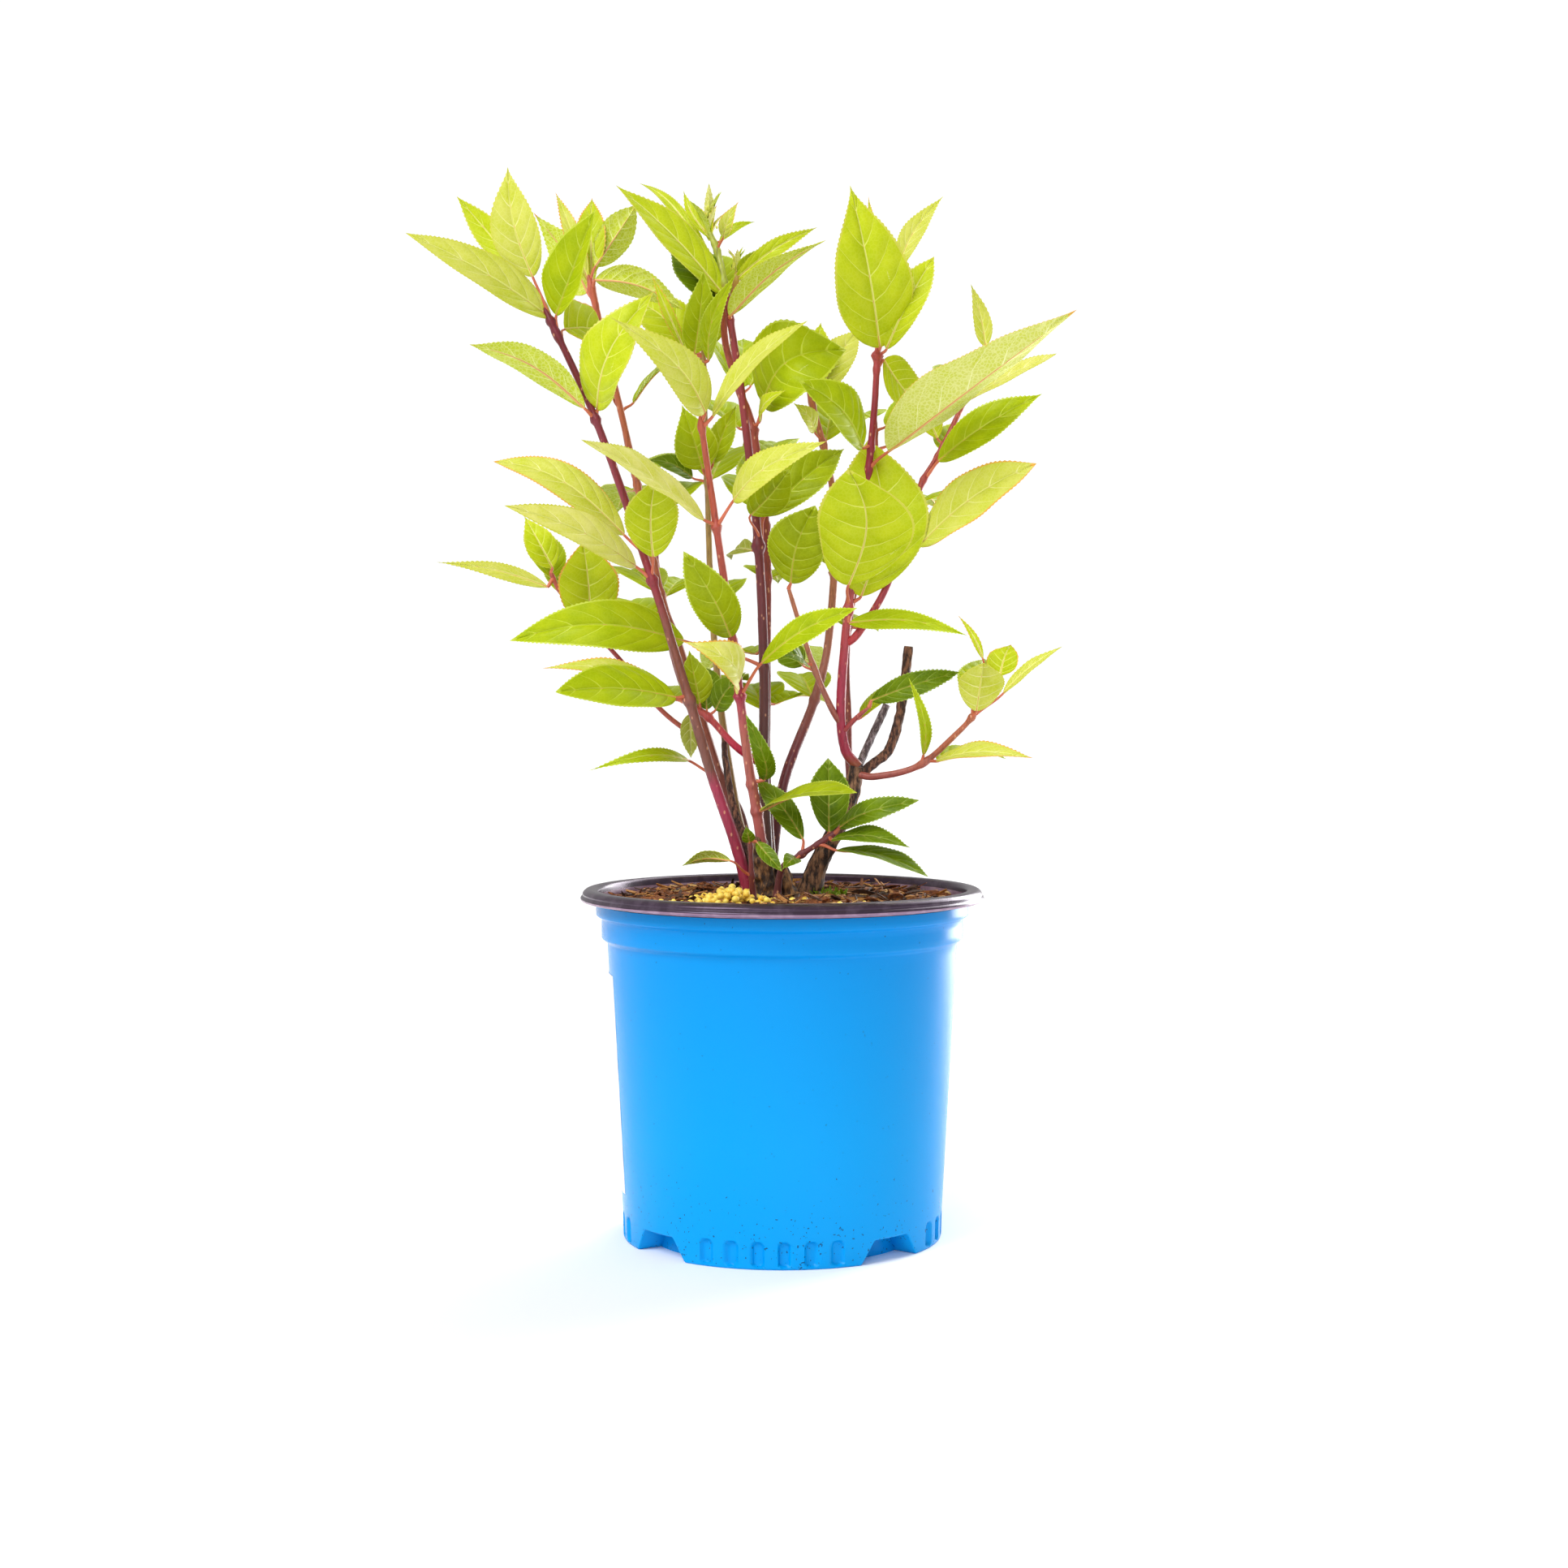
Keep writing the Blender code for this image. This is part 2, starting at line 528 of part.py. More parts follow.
def seen(across, height, depth):
    """Point that lies behind the pot's middle by depth and is seen from the front at across, height."""
    spread = 1 + depth / EYE_DISTANCE
    return Vector((across * spread, depth, EYE_HEIGHT + (height - EYE_HEIGHT) * spread))


class Route:
    """Smooth way of a stem through a few marks, each read as seen from the front."""

    STEPS = 24

    def __init__(self, marks):
        self.marks = [Vector(mark) for mark in marks]
        self.last = len(marks) - 1

    def mark(self, place):
        """Across, height and depth at a place from 0 at the foot to the number of the last mark."""
        index = min(max(int(place), 0), self.last - 1)
        t = place - index
        p1, p2 = self.marks[index], self.marks[index + 1]
        p0 = self.marks[index - 1] if index else 2 * p1 - p2
        p3 = self.marks[index + 2] if index + 2 <= self.last else 2 * p2 - p1
        return 0.5 * (2 * p1 + (p2 - p0) * t + (2 * p0 - 5 * p1 + 4 * p2 - p3) * t ** 2
                      + (3 * p1 - p0 - 3 * p2 + p3) * t ** 3)

    def point(self, place):
        """Point in space at a place."""
        return seen(*self.mark(place))

    def axis(self, place):
        """Direction in which the way runs at a place."""
        return (self.point(place + SMALL_STEP) - self.point(place - SMALL_STEP)).normalized()

    def find(self, height):
        """Highest place at which the way is seen at a height."""
        step = self.last * self.STEPS
        while step > 0 and self.mark(step / self.STEPS)[1] > height:
            step -= 1
        return step / self.STEPS

    def ahead(self, place, distance):
        """Place that lies a distance further on."""
        start, probe = self.point(place), place
        while probe < self.last and (self.point(probe) - start).length < distance:
            probe += SMALL_STEP / 2
        return min(probe, self.last)

    def tube(self, start, end, girth, sides, level_foot=False, flare=0.0):
        """Closed tapering tube along the way, with rings about RING_PITCH apart."""
        marks = [self.point(start + (end - start) * k / SAMPLES) for k in range(SAMPLES + 1)]
        length = sum((high - low).length for low, high in zip(marks, marks[1:]))
        count = max(2, round(length / RING_PITCH))
        places = [start + (end - start) * k / count for k in range(count + 1)]
        points = [self.point(place) for place in places]
        if level_foot:
            points[0].z = SOIL_MIDDLE + GAP
        radii = [self.radius(girth, place) + flare * math.exp((points[0].z - point.z) / FLARE_HEIGHT)
                 for point, place in zip(points, places)]
        return tube(points, radii, sides, [self.axis(place) for place in places], level_foot)

    def radius(self, girth, place):
        """Radius of the stem at a place, tapering from foot to tip."""
        return girth[0] + (girth[1] - girth[0]) * place / self.last


def blade_outline(leaf, t):
    """Half width of a leaf at a share of its length, in millimetres."""
    reach, power = (leaf.widest, BASE_ROUNDNESS) if t < leaf.widest else (1 - leaf.widest, leaf.tip)
    return leaf.width / 2 * (1 - ((t - leaf.widest) / reach) ** 2) ** power


def leaf_shape(root, tip, leaf, normal, margin=0.0):
    """One closed leaf: a slim stalk that widens into a thin lens, folded and arched, up to its tip."""
    way = (tip - root).normalized()
    base = root + way * leaf.stalk + way.cross(normal) * leaf.swing
    axis = (tip - base).normalized()
    normal = (normal - axis * (normal @ axis)).normalized()
    across = axis.cross(normal)
    length = (tip - base).length
    thickness = max(LEAF_THICKNESS * length, THINNEST_LEAF) / 2
    sections = [(root, STALK_GIRTH, STALK_GIRTH, 0), (base, STALK_END_GIRTH, STALK_END_GIRTH, 0)]
    for t in LARGE_LEAF_STATIONS if isinstance(leaf, Seen) and length > LARGE_LEAF else SMALL_LEAF_STATIONS:
        bulge = length * math.sin(math.pi * t)
        middle = base + axis * (length * t) + normal * (leaf.arch * bulge) + across * (leaf.sway * bulge)
        sections.append((middle, blade_outline(leaf, t), thickness, LEAF_FOLD))
    verts = []
    for middle, half, thick, fold in sections:
        edge_rise = normal * ((half + margin) * math.sin(fold))
        edge_out = across * ((half + margin) * math.cos(fold))
        verts += [middle + edge_out + edge_rise, middle + normal * (thick + margin),
                  middle - edge_out + edge_rise, middle - normal * (thick + margin)]
    verts.append(tip + margin * axis)
    last = len(verts) - 1
    faces = [(0, 1, 2, 3)]
    for side in range(4):
        turn = (side + 1) % 4
        for section in range(len(sections) - 1):
            low = 4 * section
            corners = (low + side, low + turn, low + 4 + turn, low + 4 + side)
            faces += [(corners[0], corners[1], corners[2]), (corners[0], corners[2], corners[3])]
        faces.append((last, last - 4 + side, last - 4 + turn))
    return verts, faces


def face_normal(axis, face, roll):
    """Upper side of a leaf: face 0 looks up, 90 to the front, 180 down and -90 to the back."""
    turn, roll = math.radians(face), math.radians(roll)
    wanted = Vector((0, -math.sin(turn), math.cos(turn)))
    normal = (wanted - axis * (wanted @ axis)).normalized()
    return normal * math.cos(roll) + axis.cross(normal) * math.sin(roll)


def leaf_on(route, leaf, margin=0.0):
    """Leaf of a shoot, rooted in the middle of its stem."""
    root = route.point(route.find(leaf.at))
    face = 0
    if isinstance(leaf, Seen):
        tip = seen(leaf.across, leaf.height, leaf.depth)
        face = leaf.face
    else:
        heading, rise = math.radians(leaf.heading), math.radians(leaf.rise)
        outward = Vector((math.cos(heading) * math.cos(rise), math.sin(heading) * math.cos(rise),
                          math.sin(rise)))
        tip = root + outward * (leaf.stalk + leaf.length)
    return leaf_shape(root, tip, leaf, face_normal((tip - root).normalized(), face, leaf.roll), margin)


def bud_piece(bud):
    """Closed cluster of flower buds, as an egg-shaped lump."""
    centre = seen(bud.across, bud.height, bud.depth)
    foot, *rings, top = [(out * bud.width, up * bud.length) for out, up in BUD_PROFILE]
    verts = [centre + Vector((0, 0, foot[1]))]
    for radius, height in rings:
        for side in range(BUD_SIDES):
            angle = math.tau * side / BUD_SIDES
            verts.append(centre + Vector((radius * math.cos(angle), radius * math.sin(angle), height)))
    verts.append(centre + Vector((0, 0, top[1])))
    faces = []
    last = len(verts) - 1
    for side in range(BUD_SIDES):
        turn = (side + 1) % BUD_SIDES
        faces.append((0, 1 + turn, 1 + side))
        for ring in range(len(rings) - 1):
            low = 1 + ring * BUD_SIDES
            faces.append((low + side, low + turn, low + BUD_SIDES + turn, low + BUD_SIDES + side))
        faces.append((last, last - BUD_SIDES + side, last - BUD_SIDES + turn))
    return verts, faces


def tree_of(shape):
    """Search tree of a shape, for finding where it touches others."""
    verts, faces = shape
    return BVHTree.FromPolygons([tuple(v) for v in verts], [tuple(f) for f in faces])


def touches(shape, others):
    """Whether a shape meets any of the other trees."""
    tree = tree_of(shape)
    return any(tree.overlap(other) for other in others)


def start_clear_of(route, girth, parent_route, parent_girth):
    """Place at which a side shoot's cut end first stands clear of the stem that bears it."""
    samples = []
    for k in range(parent_route.last * SAMPLES + 1):
        place = k / SAMPLES
        samples.append((parent_route.point(place), parent_route.radius(parent_girth, place)))
    place = 0.0
    while place < route.last:
        path = [route.point(place), route.point(min(place + 1 / SAMPLES, route.last))]
        radius = route.radius(girth, place)
        ring = tube(path, [radius, radius], LIMB_SIDES)[0][:LIMB_SIDES]
        if all((corner - centre).length > reach + GAP for corner in ring for centre, reach in samples):
            return place
        place += SMALL_STEP
    raise ValueError("side shoot never clears its stem")


def make_pot_body():
    """Blue moulded pot: stepped wall, thick foot ring with four notches and rows of flutes."""
    inner = [
        (NECK_RADIUS - WALL, NECK_HEIGHT),
        (NECK_RADIUS - WALL, NECK_FOOT),
        (BAND_RADIUS - WALL, BAND_HEIGHT),
        (BAND_RADIUS - WALL, SHOULDER_HEIGHT + SHOULDER_STEP),
        (SHOULDER_RADIUS - WALL, SHOULDER_HEIGHT),
        (BASE_TOP_RADIUS - WALL, BASE_HEIGHT),
        (BASE_RING_INNER, BASE_HEIGHT),
        (BASE_RING_INNER, FLOOR),
    ]
    outer = [
        (BASE_RADIUS - BASE_EDGE, 0),
        (BASE_RADIUS, BASE_EDGE),
        (BASE_TOP_RADIUS, WALL_FOOT),
        (SHOULDER_RADIUS, SHOULDER_HEIGHT),
        (BAND_RADIUS, SHOULDER_HEIGHT + SHOULDER_STEP),
        (BAND_RADIUS, BAND_HEIGHT),
        (NECK_RADIUS, NECK_FOOT),
        (NECK_RADIUS, NECK_HEIGHT),
    ]
    body = to_object("pot_body", turned([(0, 0)] + outer + inner + [(0, FLOOR)]))
    fuse(body, [notch_cutter(k) for k in range(FEET)], "DIFFERENCE")
    flutes = [flute_cutter(foot, row) for foot in range(FEET) for row in range(FLUTES_PER_FOOT)]
    fuse(body, flutes, "DIFFERENCE")
    return finish(body, "pot_body", 0.25)


def notch_cutter(number):
    """Block with slanted sides that opens the foot ring between two feet."""
    angle = math.radians(-90 + FOOT_TURN + (number + 0.5) * 360 / FEET)
    out = Vector((math.cos(angle), math.sin(angle), 0))
    side = Vector((-out.y, out.x, 0))
    slope = (NOTCH_FOOT_WIDTH - NOTCH_TOP_WIDTH) / NOTCH_HEIGHT
    lowest = (NOTCH_FOOT_WIDTH + slope * NOTCH_OVERRUN, -NOTCH_OVERRUN)
    verts = []
    for reach in (BASE_RADIUS - NOTCH_DEPTH, BASE_RADIUS + NOTCH_OVERRUN):
        for width, height in (lowest, (NOTCH_TOP_WIDTH, NOTCH_HEIGHT)):
            for hand in (-1, 1):
                verts.append(out * reach + side * (hand * width / 2) + Vector((0, 0, height)))
    faces = [(0, 1, 3, 2), (4, 6, 7, 5), (0, 4, 5, 1), (2, 3, 7, 6), (0, 2, 6, 4), (1, 5, 7, 3)]
    return verts, faces


def flute_cutter(foot, row):
    """Upright rod with a pointed top that dents the foot."""
    turn = FOOT_TURN + foot * 360 / FEET + (row - (FLUTES_PER_FOOT - 1) / 2) * FLUTE_PITCH
    angle = math.radians(-90 + turn)
    centre = Vector((math.cos(angle), math.sin(angle), 0)) * (BASE_RADIUS + FLUTE_RADIUS - FLUTE_BITE)
    heights = (-NOTCH_OVERRUN, FLUTE_HEIGHT * FLUTE_STRAIGHT, FLUTE_HEIGHT)
    path = [centre + Vector((0, 0, height)) for height in heights]
    return tube(path, [FLUTE_RADIUS, FLUTE_RADIUS, FLUTE_RADIUS * FLUTE_POINT], FLUTE_SIDES)


def make_pot_rim():
    """Black rolled rim: an inner wall that turns over into a hanging outer lip."""
    foot, top, low = NECK_HEIGHT + GAP, RIM_TOP, LIP_BOTTOM
    skirt, inside = LIP_RADIUS - BEAD_STAND, LIP_RADIUS - BEAD_STAND - RIM_SKIN
    profile = [
        (NECK_RADIUS - WALL, foot), (NECK_RADIUS - WALL / 2, top - RIM_EDGE),
        (NECK_RADIUS + RIM_FLAT_START, top), (NECK_RADIUS + RIM_FLAT_END, top),
        (skirt - BEAD_STAND, top - RIM_EDGE), (skirt, top - RIM_EDGE - RIM_SKIN),
        (skirt, low + BEAD_TOP), (LIP_RADIUS, low + BEAD_TOP - BEAD_EDGE), (LIP_RADIUS, low + BEAD_EDGE),
        (LIP_RADIUS - BEAD_EDGE, low), (inside + BEAD_EDGE, low + BEAD_EDGE / 2),
        (inside, top - RIM_EDGE - 1.4 * RIM_SKIN), (inside - RIM_SKIN, top - RIM_SKIN),
        (NECK_RADIUS + RIM_SKIN, top - RIM_SKIN), (NECK_RADIUS, foot),
    ]
    return finish(to_object("pot_rim", turned(profile)), "pot_rim", 0.35)


def wall_radius(height):
    """Outer radius of the pot's plain wall at a height."""
    share = (height - WALL_FOOT) / (SHOULDER_HEIGHT - WALL_FOOT)
    return BASE_TOP_RADIUS + (SHOULDER_RADIUS - BASE_TOP_RADIUS) * share


def make_label():
    """Thin blank sheet that follows the flats of the wall on the pot's left side."""
    verts = []
    for height in (LABEL_FOOT, LABEL_TOP):
        for step in range(LABEL_SEGMENTS + 1):
            angle = math.tau * (LABEL_FIRST_SEGMENT + step) / SEGMENTS
            for lift in (GAP, GAP + LABEL_THICKNESS):
                radius = wall_radius(height) + lift
                verts.append((radius * math.cos(angle), radius * math.sin(angle), height))
    high = 2 * (LABEL_SEGMENTS + 1)
    faces = [(0, 1, high + 1, high), (high - 2, 2 * high - 2, 2 * high - 1, high - 1)]
    for low in range(0, high - 2, 2):
        up = high + low
        faces += [(low, low + 2, low + 3, low + 1), (up, up + 1, up + 3, up + 2),
                  (low, up, up + 2, low + 2), (low + 1, low + 3, up + 3, up + 1)]
    return finish(to_object("label", (verts, faces)), "label", 0.5)


def make_soil():
    """Bark compost that fills the pot, slightly heaped round the stems."""
    room = WALL + GAP + SOIL_CLEARANCE
    profile = [
        (0, FLOOR + GAP), (BASE_RING_INNER - GAP, FLOOR + GAP),
        (BASE_RING_INNER - GAP, BASE_HEIGHT + GAP), (BASE_TOP_RADIUS - room, BASE_HEIGHT + GAP),
        (SHOULDER_RADIUS - room, SHOULDER_HEIGHT + GAP),
        (BAND_RADIUS - room, SHOULDER_HEIGHT + SHOULDER_STEP + GAP), (BAND_RADIUS - room, BAND_HEIGHT + GAP),
        (NECK_RADIUS - room, NECK_FOOT + GAP), (NECK_RADIUS - room, SOIL_EDGE),
        (SOIL_FLAT_RADIUS, SOIL_MIDDLE), (0, SOIL_MIDDLE),
    ]
    return finish(to_object("soil", turned(profile)), "soil", 0.9)


def make_trunk():
    """Old woody trunk with a flared foot and two sawn stubs at its fork."""
    route = Route(TRUNK_ROUTE)
    shape = route.tube(0, route.last, TRUNK_GIRTH, TRUNK_SIDES, level_foot=True, flare=TRUNK_FLARE)
    trunk = to_object("trunk_right", shape)
    stubs = []
    for marks, girth in STUBS:
        stub = Route(marks)
        stubs.append(stub.tube(0, stub.last, girth, LIMB_SIDES))
    fuse(trunk, stubs, "UNION")
    finish(trunk, "bark", 0.85)
    return [tree_of(shape)] + [tree_of(stub) for stub in stubs]


def limb_of(shoot, routes):
    """Bare lower length of a shoot, from the soil or its parent stem up to its leaves."""
    route = Route(shoot.route)
    start = 0.0
    if shoot.parent:
        start = start_clear_of(route, shoot.girth, *routes[shoot.parent])
    end = route.find(shoot.leafy_from)
    return route, route.tube(start, end, shoot.girth, LIMB_SIDES, level_foot=not shoot.parent)


def stem_of(shoot, route):
    """Upper length of a shoot's stem, which its leaves grow on."""
    start = route.ahead(route.find(shoot.leafy_from), GAP)
    return route.tube(start, route.last, shoot.girth, TWIG_SIDES)


def leaves_of(shoot, route, others):
    """Buds of a shoot, and those of its leaves that touch no limb and no other shoot."""
    pieces = [bud_piece(bud) for bud in shoot.buds]
    for leaf in shoot.leaves:
        if not touches(leaf_on(route, leaf, TEST_MARGIN), others):
            pieces.append(leaf_on(route, leaf))
    return pieces


def main():
    clear_scene()
    make_pot_body()
    make_pot_rim()
    make_label()
    make_soil()
    taken = {"trunk_right": make_trunk()}

    routes = {"trunk_right": (Route(TRUNK_ROUTE), TRUNK_GIRTH)}
    for shoot in SHOOTS:
        route, shape = limb_of(shoot, routes)
        routes[shoot.name] = (route, shoot.girth)
        finish(to_object("cane_" + shoot.name, shape), "cane")
        taken["cane_" + shoot.name] = [tree_of(shape)]

    snag = Route(SNAG_ROUTE)
    shape = snag.tube(0, snag.last, SNAG_GIRTH, LIMB_SIDES, level_foot=True)
    finish(to_object("snag_left", shape), "cane")
    taken["snag_left"] = [tree_of(shape)]

    stems = {shoot.name: stem_of(shoot, routes[shoot.name][0]) for shoot in SHOOTS}
    for name, stem in stems.items():
        taken["foliage_" + name] = [tree_of(stem)]
    for shoot in SHOOTS:
        name = "foliage_" + shoot.name
        others = [tree for owner, trees in taken.items() if owner != name for tree in trees]
        pieces = leaves_of(shoot, routes[shoot.name][0], others)
        mass = to_object(name, stems[shoot.name])
        fuse(mass, pieces, "UNION")
        finish(mass, "leaf", 0.5, smooth=False)
        taken[name] += [tree_of(piece) for piece in pieces]


main()
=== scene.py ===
"""Looks of a hydrangea shrub in its moulded nursery pot.

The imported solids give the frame. Each class below builds one sub-assembly over them: the pot, its rim
and label, the compost, the old wood, and each shoot with its cane, stalks, leaves and flower buds.
Lengths are in millimetres until a mesh is made. +Z is up and the front of the shrub faces -Y.
"""

from __future__ import annotations

import json
import logging
import math
import random
from dataclasses import dataclass, field
from enum import Enum
from typing import Iterable, NamedTuple, Sequence

import bpy
import numpy as np
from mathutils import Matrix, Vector, noise

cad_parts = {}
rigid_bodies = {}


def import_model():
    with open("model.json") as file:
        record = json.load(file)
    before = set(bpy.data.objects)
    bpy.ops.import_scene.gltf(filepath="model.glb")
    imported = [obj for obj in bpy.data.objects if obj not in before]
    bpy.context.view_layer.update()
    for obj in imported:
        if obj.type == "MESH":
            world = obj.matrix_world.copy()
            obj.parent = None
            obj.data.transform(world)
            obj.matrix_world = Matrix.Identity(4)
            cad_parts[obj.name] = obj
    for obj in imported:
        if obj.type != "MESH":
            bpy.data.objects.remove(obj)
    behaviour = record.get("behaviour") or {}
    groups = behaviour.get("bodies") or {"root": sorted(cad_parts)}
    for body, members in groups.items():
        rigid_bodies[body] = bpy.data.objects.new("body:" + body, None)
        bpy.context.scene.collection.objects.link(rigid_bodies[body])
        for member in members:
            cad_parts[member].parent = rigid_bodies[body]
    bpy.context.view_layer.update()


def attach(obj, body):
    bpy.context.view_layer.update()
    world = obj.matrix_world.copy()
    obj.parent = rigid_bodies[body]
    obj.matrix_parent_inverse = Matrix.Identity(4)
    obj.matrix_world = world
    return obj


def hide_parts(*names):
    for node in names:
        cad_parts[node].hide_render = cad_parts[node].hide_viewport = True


log = logging.getLogger("shrub")

MM = 0.001
Array = np.ndarray
Colour = tuple[float, float, float, float]
Marks = tuple[tuple[float, float, float], ...]
Girth = tuple[float, float]
Span = tuple[float, float]

# Where the camera stands: in front of the pot's middle, and above the floor
EYE_DISTANCE = 1286.0
EYE_HEIGHT = 292.7

# Height of the compost where the stems stand
SOIL_LEVEL = 184.0


class Tone(Enum):
    """How light a leaf is: partly by its age, and partly painted light and shade, paler where light falls and
    deeper in shade.
    """

    PALE = "pale"
    GOLD = "gold"
    BRIGHT = "bright"
    MID = "mid"
    DEEP = "deep"
    OLIVE = "olive"
    SAGE = "sage"


PALE, GOLD, BRIGHT, MID, DEEP, OLIVE, SAGE = Tone


class Seen(NamedTuple):
    """Leaf whose tip is read as seen from the front.

    Attributes:
        at: Height at which its stalk leaves the stem.
        across: Where its tip is seen, to the right of the pot's middle.
        height: Where its tip is seen, above the floor.
        depth: How far its tip lies behind the pot's middle.
        width: Width of the blade.
        face: Way its upper side looks, in degrees: 0 up and 90 to the front.
        stalk: Length of its stalk.
        arch: Height of its bow along the midrib, as a share of its length.
        roll: Turn about its own axis, in degrees.
        sway: Sideways bow, as a share of its length.
        swing: Sideways shift of its base.
        widest: Share of the length at which it is widest.
        tip: How sharply its outline runs out to the tip.
        tone: Its colour.
        fold: Rise of each half from the midrib, in degrees.
        twist: Turn from base to tip, in degrees.
    """

    at: float
    across: float
    height: float
    depth: float
    width: float
    face: float = 50
    stalk: float = 9
    arch: float = 0.15
    roll: float = 0
    sway: float = 0
    swing: float = 0
    widest: float = 0.4
    tip: float = 1.7
    tone: Tone = BRIGHT
    fold: float = 20
    twist: float = 0


class Turned(NamedTuple):
    """Leaf set by its heading and its rise above level, in degrees, and otherwise as a seen one."""

    at: float
    heading: float
    rise: float
    length: float
    width: float
    stalk: float = 9
    arch: float = 0.1
    roll: float = 0
    sway: float = 0
    swing: float = 0
    widest: float = 0.4
    tip: float = 1.7
    tone: Tone = MID
    fold: float = 20
    twist: float = 0


Leaf = Seen | Turned


class Bud(NamedTuple):
    """Cluster of flower buds, read as seen from the front."""

    across: float
    height: float
    depth: float
    width: float
    length: float


class ShootPlan(NamedTuple):
    """Route, girth at foot and tip, leaves, flower buds and bark colours by height of one shoot."""

    name: str
    parent: str | None
    route: Marks
    girth: Girth
    bark: tuple[tuple[float, str], ...]
    leaves: tuple[Leaf, ...]
    buds: tuple[Bud, ...] = ()


